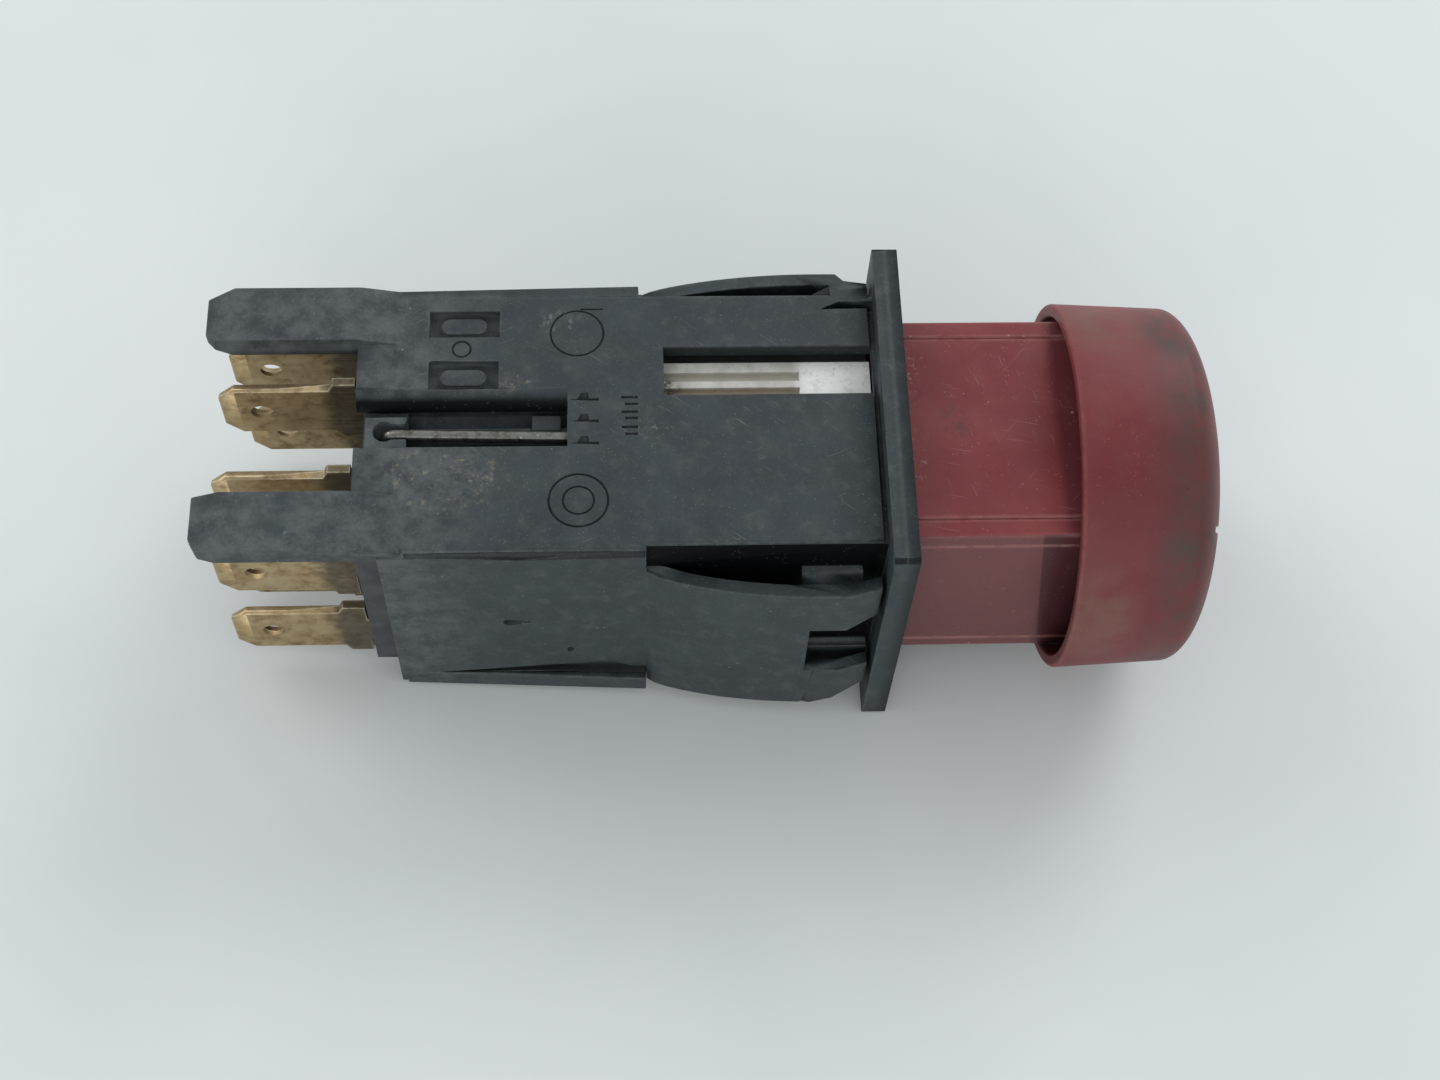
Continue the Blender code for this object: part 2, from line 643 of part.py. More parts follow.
def make_live_strip():
    """Strip from a wiping finger beside terminal_lower_1 to the bulb's centre contact."""
    y = LIVE_STRIP_Y
    finger = [(-23.4, y), (-24.2, y + 0.3), (-25.2, y + 0.3), (-26.0, y)]
    path = [(LIVE_STRIP_X, -1.2), (LIVE_STRIP_X, y)] + finger
    strip = prism("lamp_live_strip", "XY", ribbon(path, -STRIP_THICK), STRIP_Z, brass())
    join(strip, box("lamp_pad", (LIVE_STRIP_X, LIVE_STRIP_X + STRIP_THICK), (-1.2, 1.2), (-6.0, 1.3)))
    return strip


def make_return_strip():
    """Strip from beside the lower clip to the side of the lamp socket."""
    strip = box("lamp_return_strip", (-20.2, 0.8), (-7.3, -6.9), STRIP_Z, brass())
    lead = box("lamp_lead", (0.4, 0.8), (-7.25, -4.65), (-7.5, 1.2))
    join(strip, lead)
    return strip


def make_button():
    """Red lens: a round hollow cap and the square stem that slides in the bezel."""
    crown = 8
    front = []
    for step in range(crown + 1):
        turn = math.pi / 2 * step / crown
        spread = math.sin(turn) ** CROWN_SPREAD
        front.append((SHOULDER_X + (BUTTON_FRONT - SHOULDER_X) * math.cos(turn), SHOULDER_RADIUS * spread))
    skirt = [(SKIRT_REAR, CAP_RADIUS), (SKIRT_REAR, SKIRT_INNER), (CAP_INSIDE_X - 1.5, SKIRT_INNER - 0.4)]
    cap = turned("red_button", front + skirt + [(CAP_INSIDE_X, 0)], red_plastic(), 56)
    stem = prism("stem", "YZ", rounded_square(STEM_HALF, STEM_CORNER), (STEM_REAR, STEM_FRONT))
    hollow = rounded_square(STEM_HALF - STEM_WALL, STEM_CORNER / 2)
    cut(stem, prism("stem_hollow", "YZ", hollow, (STEM_REAR - 1, CAP_INSIDE_X + 1)))
    join(cap, stem)
    return cap


def build():
    for old in list(bpy.data.objects):
        bpy.data.objects.remove(old, do_unlink=True)
    make_housing()
    make_carrier()
    for name, (y, z, inner) in TERMINALS.items():
        make_terminal(name, y, z, inner)
    make_slider()
    for name, pair in CLIPS.items():
        make_clip(name, *pair)
    make_latch_wire()
    make_return_spring()
    make_lamp()
    make_button()


build()
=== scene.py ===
"""Looks of the push-push emergency switch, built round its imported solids.

Shapes are drawn in millimetres in the switch's own frame: x = 0 is the rear face of the bezel, +X points to
the button, +Y and +Z are two sides of the square body, and z = 0 is the push axis. put() turns such a point
into metres in the row frame.
"""
import json
import math

import bmesh
import bpy
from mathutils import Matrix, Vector


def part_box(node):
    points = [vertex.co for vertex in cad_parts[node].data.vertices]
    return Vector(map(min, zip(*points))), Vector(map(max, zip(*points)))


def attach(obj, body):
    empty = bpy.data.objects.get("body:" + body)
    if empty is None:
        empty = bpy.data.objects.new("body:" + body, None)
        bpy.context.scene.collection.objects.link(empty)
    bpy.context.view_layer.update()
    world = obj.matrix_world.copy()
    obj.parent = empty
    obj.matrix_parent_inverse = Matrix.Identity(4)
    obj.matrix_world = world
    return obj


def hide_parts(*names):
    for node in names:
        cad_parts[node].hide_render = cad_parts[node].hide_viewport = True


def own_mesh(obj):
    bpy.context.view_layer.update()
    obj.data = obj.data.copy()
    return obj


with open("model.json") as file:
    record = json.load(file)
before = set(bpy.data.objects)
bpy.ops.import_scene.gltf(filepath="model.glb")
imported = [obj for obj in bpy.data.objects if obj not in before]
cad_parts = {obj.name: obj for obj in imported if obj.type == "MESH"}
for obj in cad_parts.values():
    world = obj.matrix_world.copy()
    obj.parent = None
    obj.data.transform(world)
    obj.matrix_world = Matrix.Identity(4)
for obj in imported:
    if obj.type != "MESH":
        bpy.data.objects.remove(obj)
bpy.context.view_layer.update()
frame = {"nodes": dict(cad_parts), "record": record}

MM = 0.001
BUTTON_LOW, BUTTON_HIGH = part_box("red_button")
BEZEL = next(m for m in frame["record"]["mounts"] if m["name"] == "panel_face")
CENTRE_X = BEZEL["pos_m"][0]
AXIS_HEIGHT = (BUTTON_LOW[2] + BUTTON_HIGH[2]) / 2

# Housing, in the switch's frame
BODY_HALF = 12.5
BODY_REAR = -41.0
CAVITY_HALF = 11.0
MOUTH_HALF = 10.65
BEZEL_HALF = 15.0
BEZEL_THICK = 2.1
TOP_WALL_REAR = -43.2
TONGUE_TIP = -55.7
TONGUE_Z = (11.1, 13.4)
BACK_TONGUE = (7.2, 12.4)
FRONT_TONGUE = (-12.4, -7.1)
WINDOW_X = (-17.8, -0.3)
WINDOW_Y = (2.15, 6.75)
ARM_ROOT = -19.5
ARM_BULGE_START = -5.0
ARM_BEND = -2.9
ARM_END = -0.3
ARM_THICK = 1.2
ARM_CURVE = 0.65
ARM_LOW = -12.0
FRONT_ARM_HIGH = 9.05
BACK_ARM_HIGH = 11.7
FRONT_ARM_BOW = 15.1
BACK_ARM_BOW = 14.6

# Latch wire and its channel
GROOVE_X = (-39.0, -25.8)
GROOVE_Y = (-2.7, 1.0)
GROOVE_FLOOR = 10.6
PIVOT = (-40.8, -0.9)
WIRE_TIP = (-24.6, -1.3)
WIRE_RADIUS = 0.52
WIRE_HEIGHT = 11.4

# Terminals, as (y, z, inner strip's low and high z)
UPPER_INNER = (3.8, 7.8)
LOWER_INNER = (-8.2, -4.2)
TERMINALS = {
    "terminal_upper_1": (10.3, 4.3, UPPER_INNER),
    "terminal_upper_2": (4.4, 7.1, UPPER_INNER),
    "terminal_upper_3": (-3.9, 7.1, UPPER_INNER),
    "terminal_upper_4": (-9.5, 4.4, UPPER_INNER),
    "terminal_lower_1": (10.3, -6.2, LOWER_INNER),
    "terminal_lower_2": (-4.4, -6.2, LOWER_INNER),
    "terminal_lower_3": (-9.8, -6.0, LOWER_INNER),
}
BLADE_TIP = -55.1
BLADE_HALF_HEIGHT = 3.15
BLADE_HALF_THICK = 0.4
SHOULDER_REAR = -45.8
DETENT_X = -51.7
DETENT_RADIUS = 0.95

# Slider
SLIDER_HALF = 10.75
SLIDER_X = (-26.5, -0.4)
SPIGOT_HALF = 8.7
SPIGOT_FRONT = 12.0
SLIDER_BORE = 4.6

# Contact clips, as (middle y, strip's low and high z, half the clip's width)
CLIPS = {
    "left": (7.35, UPPER_INNER, 2.55),
    "right": (-6.7, UPPER_INNER, 2.4),
    "lower": (-7.1, LOWER_INNER, 2.3),
}

# Return spring
COIL_X = (-36.1, -12.8)
COIL_TURNS = 8.5
COIL_RADIUS = 3.6
COIL_WIRE_RADIUS = 0.4

# Button
STEM_HALF = 10.45
STEM_CORNER = 0.3
STEM_WALL = 1.3
STEM_GROOVE = (8.75, 0.34, 0.17)
STEM_X = (-0.2, 26.4)
CAP_RADIUS = 15.9
SKIRT_REAR = 15.9
SHOULDER_X = 25.3
SHOULDER_RADIUS = 15.45
BUTTON_FRONT = 29.2
CROWN_SPREAD = 0.72
CAP_BORE = 14.8

# Moulded marks in the top face
MARK_DEPTH = 0.2
PANEL_FLOOR = BODY_HALF - 0.95

# Staging
FLOOR_GAP = 0.06
FLOOR_REACH = 1500.0
CAMERA_PLACE = (-21.32, -94.18, 170.55)
CAMERA_TURN = (0.4826, -0.0330, -0.0303)
CAMERA_LENS = 55.8

# Rounding of the sharp edges
BEVEL_STEPS = 2
BEVEL_ANGLE = math.radians(30)
DOUBLED = 0.002


def put(x, y, z):
    """Row-frame position in metres of a point in the switch's own millimetre frame."""
    return (CENTRE_X + x * MM, y * MM, AXIS_HEIGHT + z * MM)


# ---------------------------------------------------------------- mesh helpers


def mesh_object(name, points, faces, material=None):
    """Object from points in the switch's frame, with its faces turned outwards."""
    mesh = bpy.data.meshes.new(name)
    mesh.from_pydata([put(*p) for p in points], [], faces)
    shell = bmesh.new()
    shell.from_mesh(mesh)
    bmesh.ops.recalc_face_normals(shell, faces=shell.faces)
    shell.to_mesh(mesh)
    shell.free()
    made = bpy.data.objects.new(name, mesh)
    bpy.context.scene.collection.objects.link(made)
    if material:
        mesh.materials.append(material)
    return made


def prism(name, plane, outline, span, material=None):
    """Outline drawn in the XY, XZ or YZ plane and drawn out along the third direction."""
    lift = {
        "XY": lambda u, v, w: (u, v, w),
        "XZ": lambda u, v, w: (u, w, v),
        "YZ": lambda u, v, w: (w, u, v),
    }[plane]
    low, high = span
    points = [lift(u, v, low) for u, v in outline] + [lift(u, v, high) for u, v in outline]
    n = len(outline)
    sides = [(i, (i + 1) % n, (i + 1) % n + n, i + n) for i in range(n)]
    ends = [tuple(range(n)), tuple(range(n, 2 * n))]
    return mesh_object(name, points, sides + ends, material)


def box(name, x, y, z, material=None):
    outline = [(x[0], y[0]), (x[1], y[0]), (x[1], y[1]), (x[0], y[1])]
    return prism(name, "XY", outline, z, material)


def arc(centre, radius, start, end, steps):
    """Points on an arc, with angles in degrees."""
    turns = [math.radians(start + (end - start) * step / steps) for step in range(steps + 1)]
    return [(centre[0] + radius * math.cos(t), centre[1] + radius * math.sin(t)) for t in turns]


def circle(centre, radius, steps=32):
    return arc(centre, radius, 0, 360, steps)[:-1]


def rounded_square(half, corner, steps=6, groove=None):
    """Square outline with rounded corners and, if groove is (offset, width, depth), two grooves a side."""
    outline = []
    for quarter in range(4):
        turn = math.radians(90) * quarter
        side = [(half, -half + corner)]
        if groove:
            offset, width, depth = groove
            for middle in (-offset, offset):
                side += [(half, middle - width / 2), (half - depth, middle), (half, middle + width / 2)]
        side += arc((half - corner, half - corner), corner, 0, 90, steps)[:-1]
        for u, v in side:
            outline.append((u * math.cos(turn) - v * math.sin(turn), u * math.sin(turn) + v * math.cos(turn)))
    return outline


def turned(name, profile, material=None, steps=128):
    """Solid of revolution about the X axis, from (x, radius) points that start and end on the axis."""
    rings = profile[1:-1]
    points = []
    for x, radius in rings:
        for u, v in circle((0.0, 0.0), radius, steps):
            points.append((x, u, v))
    faces = []
    for ring in range(len(rings) - 1):
        here = ring * steps
        there = here + steps
        for step in range(steps):
            after = (step + 1) % steps
            faces.append((here + step, here + after, there + after, there + step))
    first_pole = len(points)
    points.append((profile[0][0], 0.0, 0.0))
    points.append((profile[-1][0], 0.0, 0.0))
    last = first_pole - steps
    for step in range(steps):
        after = (step + 1) % steps
        faces.append((first_pole, after, step))
        faces.append((first_pole + 1, last + step, last + after))
    return mesh_object(name, points, faces, material)


def swept(name, path, radius, material, sides=16):
    """Round wire with domed ends along a smooth list of points."""
    rings = []
    places = [Vector(p) for p in path]
    up = Vector((0.0, 0.0, 1.0))
    for index, place in enumerate(places):
        run = (places[min(index + 1, len(places) - 1)] - places[max(index - 1, 0)]).normalized()
        across = run.cross(up)
        if across.length < 0.05:
            across = run.cross(Vector((0.0, 1.0, 0.0)))
        across.normalize()
        up = across.cross(run).normalized()
        rings.append((place, across, up, run))
    domed = []
    first, last = rings[0], rings[-1]
    for turn in (80, 50, 20):
        domed.append((first, -math.sin(math.radians(turn)), math.cos(math.radians(turn))))
    middle = [(ring, 0.0, 1.0) for ring in rings]
    ends = [(last, math.sin(math.radians(turn)), math.cos(math.radians(turn))) for turn in (20, 50, 80)]
    points = []
    for (place, across, rise, run), along, wide in domed + middle + ends:
        for step in range(sides):
            turn = 2 * math.pi * step / sides
            offset = across * math.cos(turn) + rise * math.sin(turn)
            points.append(tuple(place + run * along * radius + offset * wide * radius))
    count = len(points) // sides
    faces = []
    for ring in range(count - 1):
        here = ring * sides
        there = here + sides
        for step in range(sides):
            after = (step + 1) % sides
            faces.append((here + step, here + after, there + after, there + step))
    faces.append(tuple(range(sides)))
    faces.append(tuple(range((count - 1) * sides, count * sides)))
    made = mesh_object(name, points, faces, material)
    made.data.shade_smooth()
    return made


def combine(target, operation, tools):
    """Cut tools out of a target, or join them on, and take the tools away."""
    for tool in tools:
        modifier = target.modifiers.new(tool.name, "BOOLEAN")
        modifier.operation = operation
        modifier.solver = "EXACT"
        modifier.object = tool
    apply_modifiers(target)
    for tool in tools:
        bpy.data.objects.remove(tool, do_unlink=True)


def cut(target, *tools):
    combine(target, "DIFFERENCE", tools)


def join(target, *tools):
    combine(target, "UNION", tools)


def apply_modifiers(target):
    bpy.context.view_layer.update()
    seen = target.evaluated_get(bpy.context.evaluated_depsgraph_get())
    mesh = bpy.data.meshes.new_from_object(seen)
    target.modifiers.clear()
    old = target.data
    target.data = mesh
    bpy.data.meshes.remove(old)


def clean(target):
    """Merge doubled points left by the cuts."""
    shell = bmesh.new()
    shell.from_mesh(target.data)
    bmesh.ops.remove_doubles(shell, verts=shell.verts, dist=DOUBLED * MM)
    bmesh.ops.dissolve_degenerate(shell, edges=shell.edges, dist=DOUBLED * MM)
    shell.to_mesh(target.data)
    shell.free()


def mark_edges(target, width):
    """Give the convex sharp edges that have room for it a full bevel weight."""
    shell = bmesh.new()
    shell.from_mesh(target.data)
    weight = shell.edges.layers.float.new("bevel_weight_edge")
    room = 2.6 * width * MM
    cramped = {v for v in shell.verts if min(e.calc_length() for e in v.link_edges) < room}
    thin = {f for f in shell.faces if 2 * f.calc_area() / f.calc_perimeter() < room / 2}
    for edge in shell.edges:
        if len(edge.link_faces) != 2 or edge.calc_face_angle_signed() < BEVEL_ANGLE:
            continue
        if cramped.isdisjoint(edge.verts) and thin.isdisjoint(edge.link_faces):
            edge[weight] = 1.0
    shell.to_mesh(target.data)
    shell.free()


def soften(target, width):
    """Round the sharp edges by so many millimetres and shade the flats flat."""
    clean(target)
    mark_edges(target, width)
    bevel = target.modifiers.new("edges", "BEVEL")
    bevel.width = width * MM
    bevel.segments = BEVEL_STEPS
    bevel.limit_method = "WEIGHT"
    bevel.use_clamp_overlap = False
    target.data.shade_smooth()
    normals = target.modifiers.new("normals", "WEIGHTED_NORMAL")
    normals.weight = 100
    normals.keep_sharp = True
    apply_modifiers(target)


def mirrored(outline):
    return [(x, -y) for x, y in outline]


# ---------------------------------------------------------------- materials


class Paint:
    """Builds one node material, with places in the switch's own millimetres."""

    def __init__(self, name):
        self.material = bpy.data.materials.new(name)
        self.material.use_nodes = True
        self.tree = self.material.node_tree
        self.shader = self.tree.nodes["Principled BSDF"]
        place = self.tree.nodes.new("ShaderNodeTexCoord")
        shift = self.vector("SUBTRACT", place.outputs["Object"], (CENTRE_X, 0.0, AXIS_HEIGHT))
        self.place = self.vector("SCALE", shift, scale=1 / MM)

    def link(self, start, end):
        self.tree.links.new(start, end)

    def feed(self, socket, value):
        if isinstance(value, bpy.types.NodeSocket):
            self.link(value, socket)
        else:
            socket.default_value = value

    def vector(self, operation, a, b=None, scale=None):
        node = self.tree.nodes.new("ShaderNodeVectorMath")
        node.operation = operation
        self.feed(node.inputs[0], a)
        if b is not None:
            self.feed(node.inputs[1], b)
        if scale is not None:
            node.inputs["Scale"].default_value = scale
        is_number = operation in ("DOT_PRODUCT", "LENGTH")
        return node.outputs["Value" if is_number else "Vector"]

    def math(self, operation, a, b=None):
        node = self.tree.nodes.new("ShaderNodeMath")
        node.operation = operation
        self.feed(node.inputs[0], a)
        if b is not None:
            self.feed(node.inputs[1], b)
        return node.outputs[0]

    def split(self):
        """The place's x, y and z."""
        node = self.tree.nodes.new("ShaderNodeSeparateXYZ")
        self.link(self.place, node.inputs[0])
        return node.outputs

    def stretched(self, scale, turn=(0, 0, 0)):
        """The place turned by angles in degrees and then scaled along each direction."""
        node = self.tree.nodes.new("ShaderNodeVectorRotate")
        node.rotation_type = "EULER_XYZ"
        self.link(self.place, node.inputs["Vector"])
        node.inputs["Rotation"].default_value = [math.radians(a) for a in turn]
        return self.vector("MULTIPLY", node.outputs["Vector"], scale)

    def noise(self, scale, detail=3.0, rough=0.55, place=None):
        node = self.tree.nodes.new("ShaderNodeTexNoise")
        self.link(place or self.place, node.inputs["Vector"])
        node.inputs["Scale"].default_value = scale
        node.inputs["Detail"].default_value = detail
        node.inputs["Roughness"].default_value = rough
        return node.outputs["Fac"]

    def spots(self, scale):
        node = self.tree.nodes.new("ShaderNodeTexVoronoi")
        self.link(self.place, node.inputs["Vector"])
        node.inputs["Scale"].default_value = scale
        return node.outputs["Distance"]

    def band(self, value, low, high, out_low=0.0, out_high=1.0):
        """Remap low..high to out_low..out_high with smooth ends."""
        node = self.tree.nodes.new("ShaderNodeMapRange")
        node.interpolation_type = "SMOOTHSTEP"
        self.feed(node.inputs["Value"], value)
        node.inputs["From Min"].default_value = low
        node.inputs["From Max"].default_value = high
        node.inputs["To Min"].default_value = out_low
        node.inputs["To Max"].default_value = out_high
        return node.outputs["Result"]

    def mix(self, share, a, b):
        node = self.tree.nodes.new("ShaderNodeMix")
        node.data_type = "RGBA"
        self.feed(node.inputs[0], share)
        for socket, value in ((node.inputs[6], a), (node.inputs[7], b)):
            self.feed(socket, value if isinstance(value, bpy.types.NodeSocket) else (*value, 1.0))
        return node.outputs[2]

    def chain(self, operation, values):
        result = values[0]
        for value in values[1:]:
            result = self.math(operation, result, value)
        return result

    def multiply(self, *values):
        return self.chain("MULTIPLY", values)

    def add(self, *values):
        return self.chain("ADD", values)

    def most(self, *values):
        return self.chain("MAXIMUM", values)

    def scratches(self, turn, low=0.66, high=0.7, along=0.06, across=7.0):
        """Thin straight marks across one direction of the surface, broken up by a larger pattern."""
        lines = self.noise(1.0, 1.5, 0.4, self.stretched((along, across, across), turn))
        elsewhere = self.stretched((1, 1, 1), (turn[1], turn[2], turn[0]))
        broken = self.band(self.noise(0.22, 2.0, 0.5, elsewhere), 0.5, 0.62)
        return self.multiply(self.band(lines, low, high), broken)

    def specks(self, scale, size, share=0.6):
        """Small round marks, with only some of the cells used."""
        dots = self.band(self.spots(scale), size, size * 0.4)
        used = self.band(self.noise(scale * 0.35, 2.0), share, share + 0.06)
        return self.multiply(dots, used)

    def edges(self, radius):
        """1 on convex and concave edges, 0 on the flats."""
        bevel = self.tree.nodes.new("ShaderNodeBevel")
        bevel.samples = 4
        bevel.inputs["Radius"].default_value = radius * MM
        geometry = self.tree.nodes.new("ShaderNodeNewGeometry")
        flat = self.vector("DOT_PRODUCT", bevel.outputs["Normal"], geometry.outputs["Normal"])
        return self.band(flat, 0.995, 0.9)

    def hollows(self, distance):
        """1 deep in corners and gaps, 0 in the open."""
        node = self.tree.nodes.new("ShaderNodeAmbientOcclusion")
        node.samples = 6
        node.inputs["Distance"].default_value = distance * MM
        return self.band(node.outputs["AO"], 0.85, 0.3)

    def near(self, centre, reach):
        """1 at a place, falling to 0 at its reach, both in millimetres."""
        offset = self.vector("SUBTRACT", self.place, centre)
        stretched = self.vector("DIVIDE", offset, reach)
        return self.band(self.vector("LENGTH", stretched), 1.0, 0.35)

    def round_about(self, *places):
        """The most of near() at several places, each given as (centre, reach)."""
        return self.most(*[self.near(centre, reach) for centre, reach in places])

    def relief(self, height, strength, distance=0.05):
        node = self.tree.nodes.new("ShaderNodeBump")
        node.inputs["Strength"].default_value = strength
        node.inputs["Distance"].default_value = distance * MM
        self.feed(node.inputs["Height"], height)
        if self.shader.inputs["Normal"].is_linked:
            self.link(self.shader.inputs["Normal"].links[0].from_socket, node.inputs["Normal"])
        self.link(node.outputs["Normal"], self.shader.inputs["Normal"])

    def finish(self, colour, roughness, **others):
        self.feed(self.shader.inputs["Base Color"], colour)
        self.feed(self.shader.inputs["Roughness"], roughness)
        for name, value in others.items():
            self.feed(self.shader.inputs[name.replace("_", " ")], value)
        return self.material


def black_plastic():
    """Moulded charcoal plastic: fine grain, worn edges lightened by wear and a painted highlight, dust, pale
    scuffs, tan dirt by the channel, and painted shade in hollows, behind the front arm, down the channel's
    rounded side and on the window's far wall.
    """
    p = Paint("black_plastic")
    x, y, z = p.split()
    top = BODY_HALF
    blotches = p.band(p.noise(0.25, 4.0), 0.35, 0.7)
    colour = p.mix(blotches, (0.019, 0.027, 0.031), (0.029, 0.039, 0.043))
    film = p.multiply(p.band(p.noise(0.55, 6.0, 0.68), 0.46, 0.74), 0.6)
    colour = p.mix(film, colour, (0.062, 0.07, 0.07))
    mottle = p.multiply(p.band(p.noise(3.2, 4.0, 0.7), 0.52, 0.72), 0.35)
    colour = p.mix(mottle, colour, (0.07, 0.078, 0.078))
    # Edges lightened: wear and a painted highlight
    worn_highlit_edges = p.multiply(p.edges(0.3), p.band(p.noise(0.9, 4.0, 0.7), 0.38, 0.62))
    colour = p.mix(p.multiply(worn_highlit_edges, 0.5), colour, (0.12, 0.13, 0.13))
    scuffs = p.most(
        p.scratches((0, 0, 38), 0.7, 0.74, 0.3, 9.0),
        p.scratches((0, 0, -24), 0.71, 0.75, 0.3, 9.0),
    )
    colour = p.mix(p.multiply(scuffs, 0.35), colour, (0.2, 0.21, 0.2))
    dusty_end = p.multiply(p.band(x, -30.0, -41.0), p.band(p.noise(0.4, 6.0, 0.7), 0.35, 0.68))
    colour = p.mix(p.multiply(dusty_end, 0.75), colour, (0.095, 0.107, 0.11))

    # Painted shade: near-black colour behind the front arm, down the channel's rounded side, on the window's
    # far wall and in hollows found by ambient occlusion (less on the panel floors), with a lower specular
    # level there
    behind_arm = p.multiply(
        p.band(y, -12.1, -12.0),
        p.band(y, -11.7, -11.8),
        p.band(z, top - 0.15, top - 0.25),
        p.band(x, ARM_ROOT - 0.2, ARM_ROOT + 0.1),
        p.band(x, 0.1, -0.1),
    )
    channel_side = p.multiply(
        p.band(z, top - 0.05, top - 0.55),
        p.band(z, GROOVE_FLOOR + 0.1, GROOVE_FLOOR + 0.25),
        p.band(y, 1.2, 1.4),
        p.band(y, 3.2, 2.8),
        p.band(x, GROOVE_X[1] + 0.3, GROOVE_X[1] - 0.2),
    )
    window_wall = p.multiply(
        p.band(y, WINDOW_Y[1] - 0.15, WINDOW_Y[1] - 0.05),
        p.band(y, WINDOW_Y[1] + 0.2, WINDOW_Y[1] + 0.1),
        p.band(z, top - 0.05, top - 0.2),
        p.band(x, WINDOW_X[0] - 0.2, WINDOW_X[0] - 0.1),
    )
    panel_floor = p.near((-34.4, 6.6, PANEL_FLOOR), (6.0, 8.0, 0.5))
    hollows = p.multiply(p.hollows(1.8), p.add(p.multiply(panel_floor, -0.55), 0.6))
    painted_shade = p.most(behind_arm, p.multiply(window_wall, 0.5), channel_side, hollows)
    colour = p.mix(painted_shade, colour, (0.005, 0.007, 0.008))
    # Deeper painted shade behind the front arm
    colour = p.mix(behind_arm, colour, (0.0013, 0.0016, 0.002))

    dust = p.most(
        p.multiply(p.specks(0.9, 0.13, 0.6), 0.7),
        p.multiply(p.specks(2.4, 0.17, 0.6), 0.6),
        p.multiply(p.specks(4.5, 0.24, 0.58), 0.8),
    )
    colour = p.mix(p.multiply(dust, 0.5), colour, (0.3, 0.3, 0.28))
    scuffed = p.round_about(
        ((-33.0, -5.6, top), (3.0, 1.6, 1.0)),
        ((-26.4, 9.4, top - 0.1), (2.4, 1.6, 1.0)),
        ((-19.0, -1.5, top), (2.2, 1.4, 1.0)),
    )
    scuffed = p.multiply(scuffed, p.band(p.noise(1.7, 6.0, 0.75), 0.52, 0.66))
    colour = p.mix(p.multiply(scuffed, 0.55), colour, (0.22, 0.225, 0.2))
    dirty = p.round_about(
        ((-31.0, 3.2, top), (2.2, 1.2, 1.2)),
        ((-36.0, -5.5, top), (7.0, 4.6, 1.5)),
        ((-29.8, 3.6, top), (2.0, 1.3, 1.2)),
    )
    haze = p.multiply(dirty, p.band(p.noise(0.8, 6.0, 0.7), 0.35, 0.65))
    colour = p.mix(p.multiply(haze, 0.4), colour, (0.095, 0.1, 0.092))
    dirt = p.multiply(dirty, p.band(p.noise(1.3, 6.0, 0.75), 0.56, 0.66))
    colour = p.mix(p.multiply(dirt, 0.65), colour, (0.22, 0.19, 0.13))
    rough = p.add(p.multiply(blotches, 0.1), 0.5)
    rough = p.math("SUBTRACT", rough, p.multiply(worn_highlit_edges, 0.12))
    p.relief(p.noise(9.0, 4.0, 0.6), 0.35, 0.03)
    p.relief(p.noise(0.9, 3.0), 0.3, 0.08)
    p.relief(p.multiply(scuffs, -1.0), 0.3, 0.04)
    return p.finish(colour, rough, Specular_IOR_Level=p.add(p.multiply(painted_shade, -0.3), 0.38))


def carrier_plastic():
    """Duller grey-black moulding at the rear, with brown dust in its corners."""
    p = Paint("carrier_plastic")
    colour = p.mix(p.band(p.noise(0.5, 4.0), 0.35, 0.7), (0.022, 0.026, 0.03), (0.045, 0.05, 0.052))
    colour = p.mix(p.multiply(p.hollows(1.2), 0.5), colour, (0.07, 0.06, 0.045))
    colour = p.mix(p.multiply(p.specks(1.6, 0.2), 0.5), colour, (0.3, 0.28, 0.24))
    p.relief(p.noise(7.0, 4.0, 0.6), 0.3, 0.03)
    return p.finish(colour, 0.6)


def ivory_plastic():
    """Yellowed white moulding with tan grease in its grooves, painted shade on the step at the back of the
    window and a darker patch at the window's rear corner.
    """
    p = Paint("ivory_plastic")
    x, y, z = p.split()
    colour = p.mix(p.band(p.noise(0.7, 4.0), 0.35, 0.7), (0.5, 0.49, 0.44), (0.66, 0.65, 0.6))
    colour = p.mix(p.band(x, -7.2, -5.6), colour, (0.9, 0.9, 0.87))
    greasy = p.multiply(p.band(z, SLIDER_HALF - 0.05, SLIDER_HALF - 0.35), p.band(x, -5.5, -7.0))
    grease = p.mix(p.band(y, 4.0, 4.3), (0.33, 0.24, 0.14), (0.42, 0.38, 0.3))
    colour = p.mix(p.multiply(greasy, 0.75), colour, grease)
    smears = p.multiply(p.band(p.noise(0.7, 5.0, 0.7), 0.5, 0.75), 0.3)
    colour = p.mix(smears, colour, (0.4, 0.38, 0.32))
    pits = p.specks(1.5, 0.14, 0.5)
    colour = p.mix(p.multiply(pits, 0.8), colour, (0.12, 0.1, 0.08))
    blotches = p.multiply(p.band(p.noise(1.1, 6.0, 0.75), 0.48, 0.64), 0.35)
    colour = p.mix(blotches, colour, (0.45, 0.45, 0.41))
    # Painted shade on the back step, which lies in shade beside the window's far wall
    back_step = p.multiply(p.band(y, 6.2, 6.35), p.band(z, SLIDER_HALF - 0.03, SLIDER_HALF - 0.25))
    colour = p.mix(p.multiply(back_step, 0.93), colour, (0.045, 0.047, 0.045))
    corner = p.multiply(p.near((-17.6, 3.5, 10.6), (1.6, 2.2, 2.0)), p.band(p.noise(1.8, 4.0), 0.4, 0.6))
    colour = p.mix(corner, colour, (0.09, 0.08, 0.06))
    p.relief(p.noise(4.0, 4.0, 0.6), 0.25, 0.04)
    return p.finish(colour, 0.5, Subsurface_Weight=0.1, Subsurface_Scale=0.0008)


